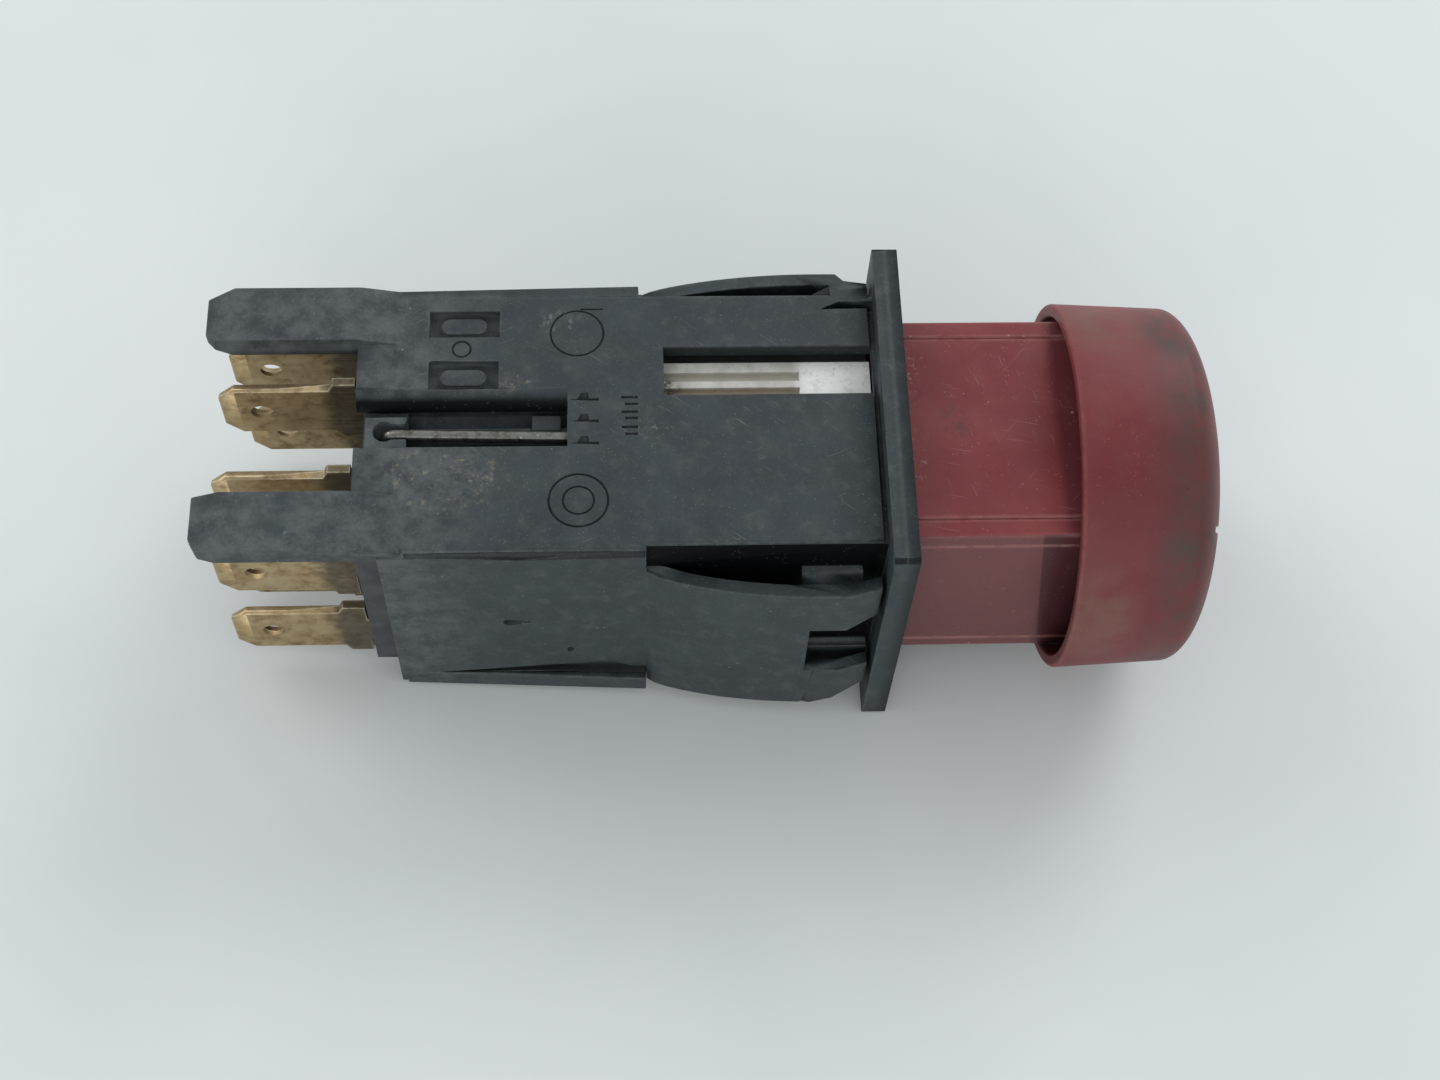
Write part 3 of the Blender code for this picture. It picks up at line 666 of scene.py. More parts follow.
def red_plastic():
    """Dark red moulding: dull film of dust, fine scratches on the stem, grime on the cap's shoulder, a greyed
    front side of the stem that is dust and a painted reflection, painted shade under the cap's skirt and on
    the cap's front side, and edges lightened by wear and a painted highlight.
    """
    p = Paint("red_plastic")
    x, y, z = p.split()
    colour = p.mix(p.band(p.noise(0.12, 3.0), 0.35, 0.7), (0.17, 0.021, 0.024), (0.21, 0.032, 0.034))
    widest = p.most(p.math("ABSOLUTE", y), p.math("ABSOLUTE", z))
    on_stem = p.band(widest, STEM_HALF + 0.45, STEM_HALF + 0.25)
    on_cap = p.math("SUBTRACT", 1.0, on_stem)
    film = p.multiply(p.band(p.noise(0.25, 6.0, 0.7), 0.35, 0.8), p.add(p.multiply(on_cap, 0.25), 0.15))
    colour = p.mix(film, colour, (0.24, 0.1, 0.095))

    # Front side of the stem greyed by dust and a painted reflection of the pale floor, and painted shade on
    # the stem under the cap's skirt
    on_front = p.multiply(on_stem, p.band(y, 0.2 - STEM_HALF, 0.09 - STEM_HALF))
    colour = p.mix(p.multiply(on_front, 0.6), colour, (0.1, 0.048, 0.047))
    # Painted shade on the stem under the cap's skirt, with a slanted edge on the front side
    slanted = p.add(x, p.multiply(z, 0.125))
    skirt_shade_front = p.multiply(on_front, p.band(slanted, 14.2, 14.35))
    skirt_shade_top = p.multiply(on_stem, p.band(x, 14.4, 15.6), 0.7)
    colour = p.mix(p.multiply(p.most(skirt_shade_front, skirt_shade_top), 0.8), colour, (0.045, 0.009, 0.012))
    # Painted shade: the cap darker on its front side
    shaded = p.multiply(on_cap, p.band(y, 9.0, -9.0))
    colour = p.mix(p.multiply(shaded, 0.6), colour, (0.1, 0.013, 0.016))

    lines = p.most(
        p.scratches((0, 0, 12), 0.68, 0.74, 0.25, 8.0),
        p.scratches((0, 0, -48), 0.7, 0.75, 0.3, 8.0),
        p.scratches((0, 15, 72), 0.69, 0.74, 0.3, 8.0),
    )
    lines = p.multiply(lines, p.band(x, 27.5, 12.0, 0.2))
    colour = p.mix(p.multiply(lines, 0.25), colour, (0.42, 0.25, 0.23))
    dust = p.most(p.specks(0.8, 0.12, 0.6), p.specks(2.2, 0.16, 0.61), p.specks(4.2, 0.22, 0.6))
    colour = p.mix(p.multiply(dust, p.add(p.multiply(on_stem, 0.3), 0.2)), colour, (0.5, 0.4, 0.37))
    scuffed = p.round_about(
        ((3.0, 5.0, 10.4), (2.2, 4.5, 1.0)),
        ((2.6, -3.0, 10.4), (1.8, 4.0, 1.0)),
    )
    scuffed = p.multiply(scuffed, p.band(p.noise(1.6, 6.0, 0.75), 0.54, 0.68))
    colour = p.mix(p.multiply(scuffed, 0.6), colour, (0.42, 0.28, 0.26))

    shoulder = p.multiply(p.band(x, 20.5, 24.5), p.band(x, 28.6, 26.5))
    patches = p.round_about(
        ((24.6, 6.5, 14.0), (3.8, 6.5, 4.5)),
        ((25.4, -1.5, 15.0), (2.4, 6.0, 3.0)),
        ((24.6, -12.2, 9.4), (3.6, 4.0, 4.5)),
    )
    patches = p.most(patches, p.multiply(shoulder, 0.75))
    grime = p.multiply(patches, p.band(p.noise(0.35, 7.0, 0.75), 0.24, 0.66))
    colour = p.mix(p.multiply(grime, 0.95), colour, (0.062, 0.04, 0.032))
    spots = p.multiply(patches, p.band(p.noise(1.6, 5.0, 0.7), 0.62, 0.7))
    colour = p.mix(p.multiply(spots, 0.7), colour, (0.02, 0.017, 0.015))
    tinted = p.round_about(
        ((19.3, 8.0, 13.5), (5.0, 6.0, 5.0)),
        ((18.2, -15.0, 4.0), (4.5, 5.0, 8.0)),
    )
    tinted = p.multiply(tinted, p.band(p.noise(0.2, 5.0, 0.65), 0.25, 0.6))
    colour = p.mix(p.multiply(tinted, 0.7), colour, (0.16, 0.08, 0.06))
    stain = p.multiply(p.near((6.5, 0.5, 10.4), (1.8, 2.4, 1.0)), p.band(p.noise(0.8, 5.0, 0.7), 0.42, 0.62))
    colour = p.mix(p.multiply(stain, 0.6), colour, (0.07, 0.035, 0.025))
    # Edges lightened: wear and a painted highlight
    worn_highlit_edges = p.multiply(p.edges(0.45), p.band(p.noise(0.8, 4.0), 0.25, 0.55))
    colour = p.mix(p.multiply(worn_highlit_edges, 0.5), colour, (0.4, 0.19, 0.16))
    rough = p.add(p.multiply(film, 0.35), 0.36)
    rough = p.add(rough, p.multiply(p.band(x, 15.5, 16.0), 0.1))
    p.relief(p.noise(0.5, 3.0), 0.25, 0.08)
    p.relief(p.multiply(lines, -1.0), 0.35, 0.04)
    p.relief(p.noise(8.0, 4.0, 0.6), 0.18, 0.02)
    return p.finish(colour, rough, Specular_IOR_Level=0.33, Subsurface_Weight=0.2, Subsurface_Scale=0.0015)


def blade_brass():
    """Stamped brass with brown stains, bright edges from wear and a painted highlight, marks of the
    connectors pushed on, and a darker zone by the body that is tarnish and painted shade.
    """
    p = Paint("blade_brass")
    x = p.split()["X"]
    colour = p.mix(p.band(p.noise(0.6, 5.0), 0.3, 0.7), (0.4, 0.29, 0.15), (0.52, 0.41, 0.24))
    stain = p.band(p.noise(0.55, 6.0, 0.68), 0.46, 0.7)
    colour = p.mix(p.multiply(stain, 0.75), colour, (0.2, 0.125, 0.06))
    # Darker towards the body: tarnish and painted shade
    uneven = p.add(x, p.multiply(p.noise(0.9, 4.0), 2.2))
    near_body = p.multiply(p.band(uneven, -46.0, -44.3), 0.75)
    colour = p.mix(near_body, colour, (0.075, 0.07, 0.058))
    # Bright edges: wear and a painted highlight
    worn_highlit_edges = p.multiply(p.edges(0.25), p.band(p.noise(1.5, 4.0), 0.3, 0.55))
    colour = p.mix(p.multiply(worn_highlit_edges, 0.7), colour, (0.8, 0.72, 0.52))
    lines = p.scratches((0, 0, 0), 0.62, 0.7, 0.1, 9.0)
    colour = p.mix(p.multiply(lines, 0.35), colour, (0.7, 0.58, 0.38))
    rough = p.add(p.multiply(stain, 0.2), 0.46)
    p.relief(p.noise(5.0, 4.0, 0.6, p.stretched((0.6, 3.0, 3.0))), 0.18, 0.03)
    return p.finish(colour, rough, Metallic=1.0)


def inner_metal(name, colour, stained, roughness):
    """Clean pressed strip or wire inside the switch."""
    p = Paint(name)
    tint = p.mix(p.band(p.noise(1.2, 4.0), 0.35, 0.7), colour, stained)
    rough = p.add(p.multiply(p.noise(3.0, 3.0), 0.15), roughness)
    p.relief(p.noise(6.0, 3.0, 0.5, p.stretched((0.4, 3.0, 3.0))), 0.2, 0.02)
    return p.finish(tint, rough, Metallic=1.0)


def wire_steel():
    """Drawn steel wire with dull patches and pale specks of dust."""
    p = Paint("wire_steel")
    colour = p.mix(p.band(p.noise(1.4, 5.0, 0.65), 0.4, 0.7), (0.22, 0.22, 0.2), (0.11, 0.1, 0.08))
    specks = p.most(p.specks(2.6, 0.25, 0.56), p.specks(5.0, 0.25, 0.58))
    colour = p.mix(p.multiply(specks, 0.7), colour, (0.75, 0.74, 0.68))
    rough = p.add(p.multiply(p.noise(3.0, 4.0), 0.2), 0.28)
    p.relief(p.noise(8.0, 3.0, 0.5, p.stretched((0.2, 3.0, 3.0))), 0.25, 0.02)
    return p.finish(colour, rough, Metallic=1.0)


def bulb_glass():
    """Clear glass with a faint haze."""
    p = Paint("bulb_glass")
    haze = p.band(p.noise(0.8, 3.0), 0.4, 0.7)
    rough = p.add(p.multiply(haze, 0.06), 0.03)
    return p.finish((0.95, 0.95, 0.93, 1.0), rough, Transmission_Weight=0.9, IOR=1.5)


def floor_paint():
    """Plain pale surface with the faintest unevenness."""
    p = Paint("floor_paint")
    colour = p.mix(p.band(p.noise(0.02, 4.0), 0.3, 0.7), (0.66, 0.69, 0.685), (0.7, 0.725, 0.72))
    return p.finish(colour, 0.55, Specular_IOR_Level=0.3)


# ---------------------------------------------------------------- housing


def arm_outline(bow, tip):
    """Plan of the snap arm on the +Y side: a bowed leaf that bends back in at its free end."""
    steps = 18
    outer = []
    for step in range(steps + 1):
        share = step / steps
        x = ARM_ROOT + (ARM_BULGE_START - ARM_ROOT) * share
        rise = math.sin(share * math.pi / 2) ** ARM_CURVE
        outer.append((x, BODY_HALF + (bow - BODY_HALF) * rise))
    outer += tip
    inner = [(x, y - ARM_THICK) for x, y in outer if x > ARM_ROOT + 2.5]
    root = [
        (ARM_ROOT + 1.2, BODY_HALF - 0.6),
        (ARM_ROOT + 0.2, BODY_HALF - 1.0),
        (ARM_ROOT - 1.5, BODY_HALF - 1.0),
        (ARM_ROOT - 1.5, BODY_HALF - 0.01),
    ]
    return outer + inner[::-1] + root


def snap_arm(name, outline, high, reach):
    """Snap arm with a window near its free end and its lower corner cut away."""
    arm = prism(name, "XY", outline, (ARM_LOW, high))
    low = ARM_LOW - 0.5
    foot = [(ARM_BEND - 3.0, low), (ARM_BEND, -11.0), (1.0, -8.0), (1.0, low)]
    cut(arm, box(name + "_window", (-5.9, 1.0), reach, (-5.3, 2.8)), prism(name + "_foot", "XZ", foot, reach))
    return arm


def tongue(name, span, outer_is_high):
    """Flat guide tongue with clipped corners, a tapered tip and a ramp down to the top face."""
    low, high = span
    outer_clip, inner_clip = (1.2, 0.5) if outer_is_high else (0.5, 1.0)
    plan = [
        (-39.1, low),
        (-39.1, high),
        (TONGUE_TIP + 2.1, high),
        (TONGUE_TIP, high - outer_clip),
        (TONGUE_TIP, low + inner_clip),
        (TONGUE_TIP + 0.6, low),
    ]
    bottom, top = TONGUE_Z
    made = prism(name, "XY", plan, TONGUE_Z)
    ramp = [(-43.4, top), (-39.1, BODY_HALF - 0.1), (-38.0, BODY_HALF - 0.1), (-38.0, 15), (-43.4, 15)]
    tip = [(-56.5, 10.5), (-53.6, 10.5), (-53.9, bottom), (TONGUE_TIP, 12.2), (-56.5, 12.2)]
    wide = (low - 1, high + 1)
    cut(made, prism(name + "_ramp", "XZ", ramp, wide), prism(name + "_tip", "XZ", tip, wide))
    return made


def channel_tools():
    """What is taken out of the top face for the latch wire."""
    turns = [math.radians(6 * step) for step in range(16)]
    rounded = [(3.1 - 1.5 * math.cos(t), 11.2 + 1.3 * math.sin(t)) for t in turns]
    far = [(0.5, GROOVE_FLOOR), (1.6, GROOVE_FLOOR)] + rounded + [(3.1, 13.5), (0.5, 13.5)]
    rear, front = GROOVE_X
    y = PIVOT[1]
    return [
        box("channel", GROOVE_X, GROOVE_Y, (GROOVE_FLOOR, 13.5)),
        prism("channel_far_side", "YZ", far, (-44.0, front)),
        box("pivot_seat", (-44.0, rear + 0.1), GROOVE_Y, (12.0, 13.5)),
        box("behind_seat", (-44.0, -42.4), GROOVE_Y, (10.0, 13.5)),
        box("pivot_slot", (PIVOT[0], rear + 0.1), (y - 0.75, y + 0.75), (GROOVE_FLOOR, 13.5)),
        prism("pivot_hole", "XY", circle(PIVOT, 0.95), (9.7, 13.5)),
        box("channel_trough", GROOVE_X, (0.1, 1.6), (9.8, 11.5)),
        box("wire_tunnel", (front - 0.2, -23.5), (-2.9, 1.5), (GROOVE_FLOOR, 11.95)),
        box("tunnel_mouth", (-25.5, -23.5), (-2.9, 1.5), (8.0, 10.9)),
    ]


def side_springs(body):
    """Sprung strip low on the front side and a flared rib high on the back."""
    wall = [(-38.0, -10.2), (-23.5, -8.35), (-22.1, -8.6), (-19.4, -10.2)]
    strip = [(-40.5, -12.45), (-19.45, -13.45), (-19.45, -12.75), (-38.0, -12.35), (-40.5, -11.9)]
    gap = [(-37.6, -12.2), (-34.0, -11.8), (-19.4, -11.8), (-19.4, -12.6), (-37.6, -12.3)]
    rib = [(-40.0, 12.0), (-40.0, 12.56), (-19.8, 12.95), (-19.8, 12.0)]
    cut(body, prism("strip_relief", "XZ", wall, (-13.5, -11.8)))
    join(body, prism("side_strip", "XY", strip, (-12.4, -10.2)))
    cut(body, prism("strip_gap", "XY", gap, (-13.0, -9.4)))
    join(body, prism("back_rib", "XY", rib, (9.0, 12.35)))


def ring(name, centre, radius, width, z):
    """Flat ring lying in the top face."""
    made = prism(name, "XY", circle(centre, radius, 48), z)
    cut(made, prism(name + "_middle", "XY", circle(centre, radius - width, 48), (z[0] - 1, z[1] + 1)))
    return made


def face_marks():
    """Shallow moulded marks: panels, rings, arrows and bars on top, a dot and a dent in the front side."""
    low, high = BODY_HALF - MARK_DEPTH, BODY_HALF + 0.5
    tools = []
    for index, y in enumerate(((7.9, 10.45), (2.8, 5.5))):
        panel = box(f"panel_{index}", (-37.3, -31.5), y, (PANEL_FLOOR, high))
        middle = (y[0] + y[1]) / 2
        oval = arc((-33.3, middle), 0.75, -90, 90, 10) + arc((-35.6, middle), 0.75, 90, 270, 10)
        cut(panel, prism(f"panel_bar_{index}", "XY", oval, (PANEL_FLOOR - 1, BODY_HALF - 0.4)))
        tools.append(panel)
    tools.append(ring("panel_dot", (-34.6, 6.7), 0.85, 0.2, (low, high)))
    tools.append(ring("ring_back", (-25.0, 8.2), 2.3, 0.18, (low, high)))
    tools.append(box("ring_back_dash", (-24.7, -22.8), (10.5, 10.66), (low, high)))
    tools.append(ring("ring_front", (-24.9, -7.75), 2.5, 0.2, (low, high)))
    tools.append(ring("ring_front_inner", (-24.9, -7.75), 1.35, 0.18, (low, high)))
    for index, y in enumerate((1.8, -0.25, -2.35)):
        head = [(-25.0, y - 0.02), (-24.7, y + 0.55), (-24.1, y + 0.6), (-24.0, y + 0.02), (-23.2, y + 0.05)]
        arrow = [(-25.7, y - 0.1), *head, (-23.2, y - 0.25)]
        tools.append(prism(f"arrow_{index}", "XY", arrow, (low, high)))
    for index, y in enumerate((1.9, 1.25, 0.5, -0.1, -0.95, -1.6)):
        rear = -21.35 + 0.3 * (index % 2)
        tools.append(box(f"bar_{index}", (rear, -20.0), (y - 0.13, y + 0.13), (low, high)))
    dot = [(-26.0 + 0.28 * u, -5.75 + 0.45 * v) for u, v in circle((0, 0), 1, 20)]
    tools.append(prism("side_dot", "XZ", dot, (-13.0, -12.1)))
    dent = arc((-31.0, -0.25), 0.55, 90, 270, 8) + [(-29.2, -0.4), (-29.2, -0.05)]
    tools.append(prism("side_dent", "XZ", dent, (-13.0, -12.15)))
    return tools


def make_housing(material):
    body = prism("housing_moulding", "YZ", rounded_square(BODY_HALF, 1.0), (BODY_REAR, 0.6), material)
    bezel = prism("bezel", "YZ", rounded_square(BEZEL_HALF, 0.5), (0.0, BEZEL_THICK))
    top_wall = box("top_wall", (TOP_WALL_REAR, -40.0), (-7.25, 7.5), (10.9, BODY_HALF))
    back_tongue = tongue("back_tongue", BACK_TONGUE, True)
    front_tongue = tongue("front_tongue", FRONT_TONGUE, False)
    join(body, bezel, top_wall, back_tongue, front_tongue)
    cavity = prism("cavity", "YZ", rounded_square(CAVITY_HALF, 0.6), (BODY_REAR - 1, -0.1))
    mouth = prism("mouth", "YZ", rounded_square(MOUTH_HALF, 0.6), (-1.0, BEZEL_THICK + 1))
    cut(body, cavity, mouth)
    for name, low, high in (("front_recess", -16.0, -11.9), ("back_recess", 11.9, 16.0)):
        cut(body, box(name, (ARM_ROOT, 0.0), (low, high), (-13.0, 13.0)))
    front_tip = [(ARM_BEND, FRONT_ARM_BOW), (ARM_END, 14.4)]
    back_tip = [(ARM_BEND, BACK_ARM_BOW), (-2.2, 13.9), (ARM_END, 13.6)]
    front_plan = mirrored(arm_outline(FRONT_ARM_BOW, front_tip))
    front_arm = snap_arm("front_arm", front_plan, FRONT_ARM_HIGH, (-16.0, -11.0))
    slope = [(ARM_BEND, 2.7), (1.0, 2.7), (1.0, 5.4)]
    cut(front_arm, prism("front_arm_slope", "XZ", slope, (-16.0, -11.0)))
    back_arm = snap_arm("back_arm", arm_outline(BACK_ARM_BOW, back_tip), BACK_ARM_HIGH, (11.0, 16.0))
    front_web = box("front_arm_web", (-6.8, -1.8), (-14.2, -11.8), (7.5, FRONT_ARM_HIGH - 0.3))
    window_rib = box("window_rib", (-6.5, -0.32), (-12.9, -11.8), (-8.4, -5.0))
    join(body, front_arm, back_arm, front_web, window_rib)
    join(body, box("channel_floor", (-42.4, -25.6), (-3.2, 2.4), (9.2, 11.5)))
    cut(body, *channel_tools())
    cut(body, box("slider_window", WINDOW_X, WINDOW_Y, (9.0, 13.5)))
    wedge = [(-4.35, 10.5), (-2.9, 11.2), (0.0, 11.2), (0.0, 10.55)]
    cut(body, prism("corner_wedge", "XY", wedge, (11.05, 13.5)))
    web = [(11.5, 9.1), (11.5, BODY_HALF), (12.5, BODY_HALF), (13.4, 11.75), (13.4, 9.1)]
    join(body, prism("back_arm_web", "YZ", web, (-3.5, -0.32)))
    join(body, prism("back_arm_gusset", "XY", [(-5.1, 12.3), (-3.4, 12.3), (-3.4, 13.3)], (9.3, 11.8)))
    side_springs(body)
    cut(body, box("bezel_seam", (-0.42, 0.02), (-12.6, 10.9), (BODY_HALF - 0.55, 13.5)))
    shadow_line = [(-38.8, 12.1), (-30.0, 12.15), (-19.6, 12.1), (-19.6, 11.5), (-30.0, 11.15), (-38.8, 11.7)]
    cut(body, prism("shadow_line", "XZ", shadow_line, (-13.0, -11.9)))
    join(body, box("channel_pad", (-28.75, -26.4), (-0.2, 1.25), (10.4, 10.8)))
    cut(body, *face_marks())
    soften(body, 0.12)
    return body


# ---------------------------------------------------------------- rear end


def make_carrier(material):
    lip = box("carrier_lip", (-42.9, -41.06), (-11.9, 11.9), (-8.3, 10.4))
    plug = box("carrier_moulding", (-42.7, -36.9), (-10.6, 10.6), (-10.4, 8.8), material)
    cut(plug, box("plug_foot", (-44.0, -41.3), (-12.5, 12.5), (-13.0, -8.31)))
    cut(lip, box("channel_room", (-44.0, -41.0), (-3.5, 2.7), (8.9, 12.0)))
    post = turned("spring_post", [(-29.0, 0), (-29.0, 2.3), (-29.2, 2.5), (-37.9, 2.5), (-37.9, 0)], steps=40)
    join(plug, lip, post)
    slots = []
    for name, (y, _, inner) in TERMINALS.items():
        tall = (inner[0] - 0.2, inner[1] + 0.2)
        slots.append(box(name + "_slot", (-44.0, -35.9), (y - 0.6, y + 0.6), tall))
    cut(plug, *slots)
    soften(plug, 0.12)
    return plug


def make_blade(name, y, z, inner, material):
    """Push-on tab with a coined tip, a detent hole, a shoulder and its inner contact strip."""
    low, high = z - BLADE_HALF_HEIGHT, z + BLADE_HALF_HEIGHT
    stop = TOP_WALL_REAR - 0.25
    outline = [
        (BLADE_TIP, low + 1.2),
        (BLADE_TIP + 1.4, low),
        (SHOULDER_REAR, low),
        (SHOULDER_REAR + 0.4, low - 1.0),
        (stop, low - 1.0),
        (stop, inner[0]),
        (-30.0, inner[0]),
        (-29.5, inner[0] + 0.5),
        (-29.5, inner[1] - 0.5),
        (-30.0, inner[1]),
        (stop, inner[1]),
        (stop, high + 1.0),
        (SHOULDER_REAR + 0.4, high + 1.0),
        (SHOULDER_REAR, high),
        (BLADE_TIP + 1.4, high),
        (BLADE_TIP, high - 1.2),
    ]
    thick = (y - BLADE_HALF_THICK, y + BLADE_HALF_THICK)
    blade = prism(name.replace("terminal", "blade"), "XZ", outline, thick, material)
    hole = prism(name + "_hole", "XZ", circle((DETENT_X, z), DETENT_RADIUS, 36), (y - 1, y + 1))
    coined = [(BLADE_TIP - 0.5, y - 1.0), (BLADE_TIP + 1.5, thick[0]), (BLADE_TIP - 0.5, y - 0.18)]
    other_side = [(x, 2 * y - v) for x, v in coined]
    reach = (low - 1, high + 1)
    front_coin = prism(name + "_coin_1", "XY", coined, reach)
    back_coin = prism(name + "_coin_2", "XY", other_side, reach)
    cut(blade, hole, front_coin, back_coin)
    soften(blade, 0.07)
    return blade


# ---------------------------------------------------------------- moving parts


def make_slider(material):
    """Ivory block: ribbed back, cam track, spring bore, contact pockets and lamp bore."""
    slider = prism("slider_moulding", "YZ", rounded_square(SLIDER_HALF, 0.8), SLIDER_X, material)
    join(slider, prism("spigot", "YZ", rounded_square(SPIGOT_HALF, 1.0), (SLIDER_X[1] - 1, SPIGOT_FRONT)))
    cut(slider, box("cam_table", (-27.5, -14.5), (-4.0, 3.0), (8.8, 12.0)))
    loop = [
        (-25.6, -0.6),
        (-25.6, -2.8),
        (-18.0, -1.6),
        (-15.5, -0.6),
        (-15.5, 2.0),
        (-18.5, 2.6),
        (-21.8, 2.6),
    ]
    track = prism("cam_track", "XY", loop, (7.9, 10.0))
    heart = [(-21.7, 1.1), (-20.6, 0.72), (-19.3, 1.0), (-19.7, 1.25), (-19.3, 1.55), (-20.6, 1.6)]
    cut(track, prism("cam_island", "XY", heart, (7.4, 10.5)))
    cut(slider, track)
    for index, span in enumerate(((3.15, 3.75), (4.48, 5.28))):
        cut(slider, box(f"rib_groove_{index}", (-27.5, -6.4), span, (SLIDER_HALF - 0.6, 12.0)))
    cut(slider, box("back_step", (-27.5, -0.3), (6.3, 11.5), (SLIDER_HALF - 1.3, 12.0)))
    radius = SLIDER_BORE
    bore = turned("spring_bore", [(-12.0, 0), (-12.0, radius), (-27.5, radius), (-27.5, 0)], steps=48)
    lamp = turned("lamp_bore", [(13.0, 0), (13.0, radius), (-8.0, radius), (-8.0, 0)], steps=48)
    cut(slider, bore, lamp)
    posts = []
    for name, (middle, (low, high), half) in CLIPS.items():
        reach = half + 1.1
        pocket = (middle - reach, middle + reach)
        post = (middle - 0.8, middle + 0.8)
        cut(slider, box(name + "_pocket", (-27.5, -20.5), pocket, (low - 0.4, high + 0.4)))
        posts.append(box(name + "_post", (-27.9, -19.5), post, (low - 0.8, high + 0.8)))
    join(slider, *posts)
    cut(
        slider,
        box("live_slot", (-27.5, -6.5), (8.55, 11.5), (-8.6, -3.8)),
        box("live_cross_slot", (-7.9, -6.5), (-1.7, 11.5), (-8.6, 1.7)),
        box("return_slot", (-20.6, -3.0), (-7.9, -6.3), (-8.0, -4.4)),
        box("return_lead_slot", (-4.0, 1.6), (-7.9, -3.0), (-8.0, 1.7)),
    )
    soften(slider, 0.1)
    return slider


def make_button(material):
    """Round hollow cap with a soft shoulder and a nick, on a square stem with two grooves along each side."""
    steps = 28
    front = []
    for step in range(steps + 1):
        turn = math.pi / 2 * step / steps
        spread = math.sin(turn) ** CROWN_SPREAD
        front.append((SHOULDER_X + (BUTTON_FRONT - SHOULDER_X) * math.cos(turn), SHOULDER_RADIUS * spread))
    rim = arc((SKIRT_REAR + 0.3, CAP_RADIUS - 0.3), 0.3, 90, 180, 5)
    inner_rim = arc((SKIRT_REAR + 0.25, CAP_BORE + 0.25), 0.25, 180, 270, 5)
    inside = [(25.5, 14.4), (26.6, 13.9), (27.0, 12.9), (27.0, 0)]
    cap = turned("red_lens", front + rim + inner_rim + inside, material)
    outline = rounded_square(STEM_HALF, STEM_CORNER, 5, STEM_GROOVE)
    stem = prism("stem", "YZ", outline, STEM_X)
    hollow = rounded_square(STEM_HALF - STEM_WALL, STEM_CORNER / 2)
    cut(stem, prism("stem_hollow", "YZ", hollow, (STEM_X[0] - 1, 28.0)))
    join(cap, stem)
    nick = [(27.45, -9.9, 10.15), (28.15, -8.64, 7.77), (28.9, -7.38, 5.4)]
    cut(cap, swept("nick", nick, 0.3, None, 10))
    clean(cap)
    cap.data.shade_smooth()
    cap.data.set_sharp_from_angle(angle=math.radians(34))
    return cap


def make_wire(material):
    """Latch wire with a turned-down end in its pivot and another in the cam track."""
    bend = 0.9
    low = WIRE_HEIGHT - bend
    rear = arc((PIVOT[0] + bend, low), bend, 180, 90, 8)
    front = arc((WIRE_TIP[0] - bend, low), bend, 90, 0, 8)
    steps = 24
    length = WIRE_TIP[0] - PIVOT[0] - 2 * bend
    straight = [(PIVOT[0] + bend + length * step / steps, WIRE_HEIGHT) for step in range(1, steps)]
    profile = [(PIVOT[0], 10.1)] + rear + straight + front + [(WIRE_TIP[0], 8.3)]
    slope = (WIRE_TIP[1] - PIVOT[1]) / (WIRE_TIP[0] - PIVOT[0])
    path = [(x, PIVOT[1] + slope * (x - PIVOT[0]), z) for x, z in profile]
    return swept("latch_wire_rod", path, WIRE_RADIUS, material)


def make_spring(material):
    """Return coil between the carrier and the bottom of the slider's bore, a little closer at its ends."""
    low, high = COIL_X
    steps = int(COIL_TURNS * 28)
    path = []
    for step in range(steps + 1):
        share = step / steps
        eased = 0.5 - 0.5 * math.cos(math.pi * share)
        turn = 2 * math.pi * COIL_TURNS * share
        x = low + (high - low) * (0.85 * share + 0.15 * eased)
        path.append((x, COIL_RADIUS * math.cos(turn), COIL_RADIUS * math.sin(turn)))
    return swept("return_coil", path, COIL_WIRE_RADIUS, material, 10)


# ---------------------------------------------------------------- staging


def add_light(name, place, target, size, power, colour=(1.0, 1.0, 1.0)):
    light = bpy.data.lights.new(name, "AREA")
    light.shape = "DISK"
    light.size = size
    light.energy = power
    light.color = colour
    made = bpy.data.objects.new(name, light)
    made.location = place
    made.rotation_euler = (Vector(target) - Vector(place)).to_track_quat("-Z", "Y").to_euler()
    bpy.context.scene.collection.objects.link(made)
    return made


def make_floor(material):
    """Plane just under the object's lowest edges: the cap's rim, the bezel's rear and the body's rear."""
    near, far = (SKIRT_REAR, -CAP_RADIUS), (BODY_REAR, -BODY_HALF)
    slope = (near[1] - far[1]) / (near[0] - far[0])
    reach = FLOOR_REACH
    points = []
    for x, y in ((-reach, -reach), (reach, -reach), (reach, reach), (-reach, reach)):
        points.append((x, y, near[1] + slope * (x - near[0]) - FLOOR_GAP))
    floor = mesh_object("floor", points, [(0, 1, 2, 3)], material)


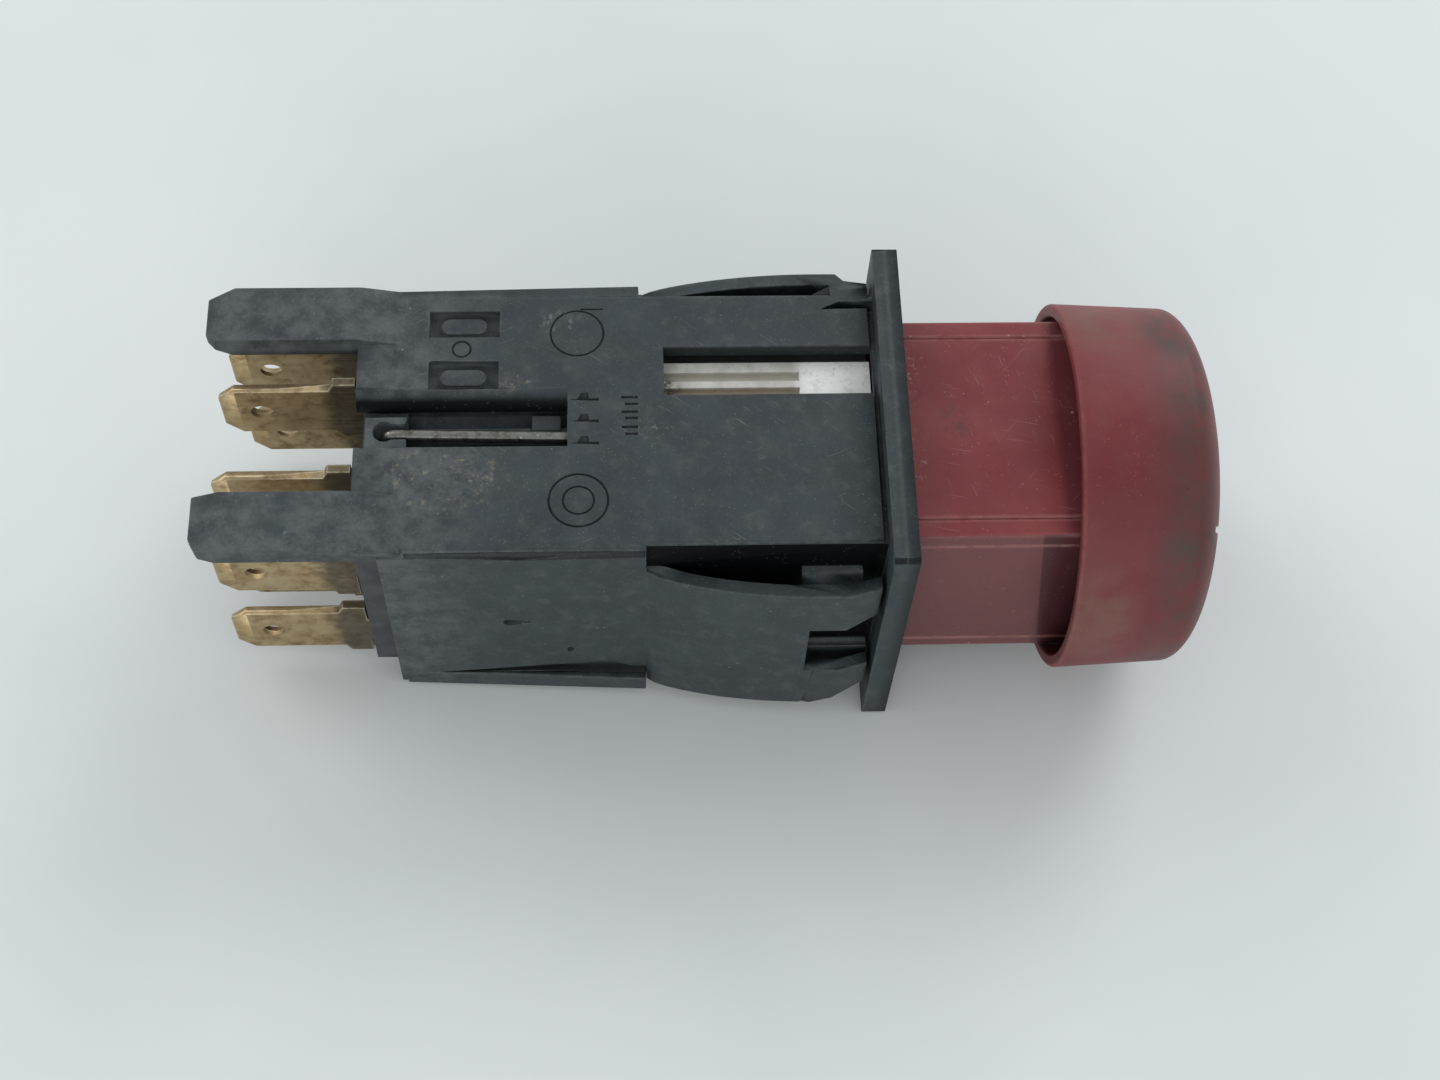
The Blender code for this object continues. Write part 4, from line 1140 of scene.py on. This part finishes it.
def make_camera():
    camera = bpy.data.cameras.new("camera")
    camera.lens = CAMERA_LENS
    camera.sensor_width = 36.0
    camera.clip_start = 0.005
    made = bpy.data.objects.new("camera", camera)
    made.location = put(*CAMERA_PLACE)
    made.rotation_euler = CAMERA_TURN
    bpy.context.scene.collection.objects.link(made)
    bpy.context.scene.camera = made


def light_scene():
    world = bpy.data.worlds.new("world")
    world.use_nodes = True
    sky = world.node_tree.nodes["Background"]
    sky.inputs["Color"].default_value = (0.93, 0.97, 1.0, 1.0)
    sky.inputs["Strength"].default_value = 0.7
    bpy.context.scene.world = world
    bpy.context.scene.view_settings.view_transform = "Standard"
    centre = put(-10.0, 0.0, 0.0)
    add_light("window", (0.5, 0.72, 0.6), centre, 0.6, 3.5, (0.97, 0.99, 1.0))
    add_light("fill", (-0.7, 0.5, 0.7), centre, 0.7, 2.8)
    add_light("front", (-0.15, -0.9, 0.3), centre, 0.8, 3.4)


# ---------------------------------------------------------------- put together


def settle(piece, body, slot, *nodes):
    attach(piece, body)
    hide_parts(*nodes)


def repaint(node, material):
    data = frame["nodes"][node]
    for index in range(len(data.material_slots)):
        data.material_slots[index].material = material


def build():
    brass = blade_brass()
    settle(make_housing(black_plastic()), "body", "black_plastic", "housing")
    settle(make_carrier(carrier_plastic()), "body", "carrier_plastic", "terminal_carrier")
    for name, (y, z, inner) in TERMINALS.items():
        settle(make_blade(name, y, z, inner, brass), "body", "terminal_brass", name)
    steel = wire_steel()
    coil = make_spring(steel)
    settle(coil, "body", "spring_steel", "return_spring")
    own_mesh(coil)
    settle(make_wire(steel), "wire", "spring_steel", "latch_wire")
    settle(make_slider(ivory_plastic()), "plunger", "ivory_plastic", "slider")
    settle(make_button(red_plastic()), "plunger", "red_plastic", "red_button")
    clip_metal = inner_metal("clip_brass", (0.75, 0.6, 0.36), (0.6, 0.45, 0.26), 0.25)
    lamp_metal = inner_metal("lamp_brass", (0.7, 0.6, 0.42), (0.5, 0.42, 0.3), 0.3)
    for node in ("contact_clip_left", "contact_clip_right", "contact_clip_lower"):
        repaint(node, clip_metal)
    for node in ("bulb_cap", "lamp_socket", "lamp_live_strip", "lamp_return_strip"):
        repaint(node, lamp_metal)
    repaint("bulb_glass", bulb_glass())
    make_floor(floor_paint())
    light_scene()
    make_camera()


build()
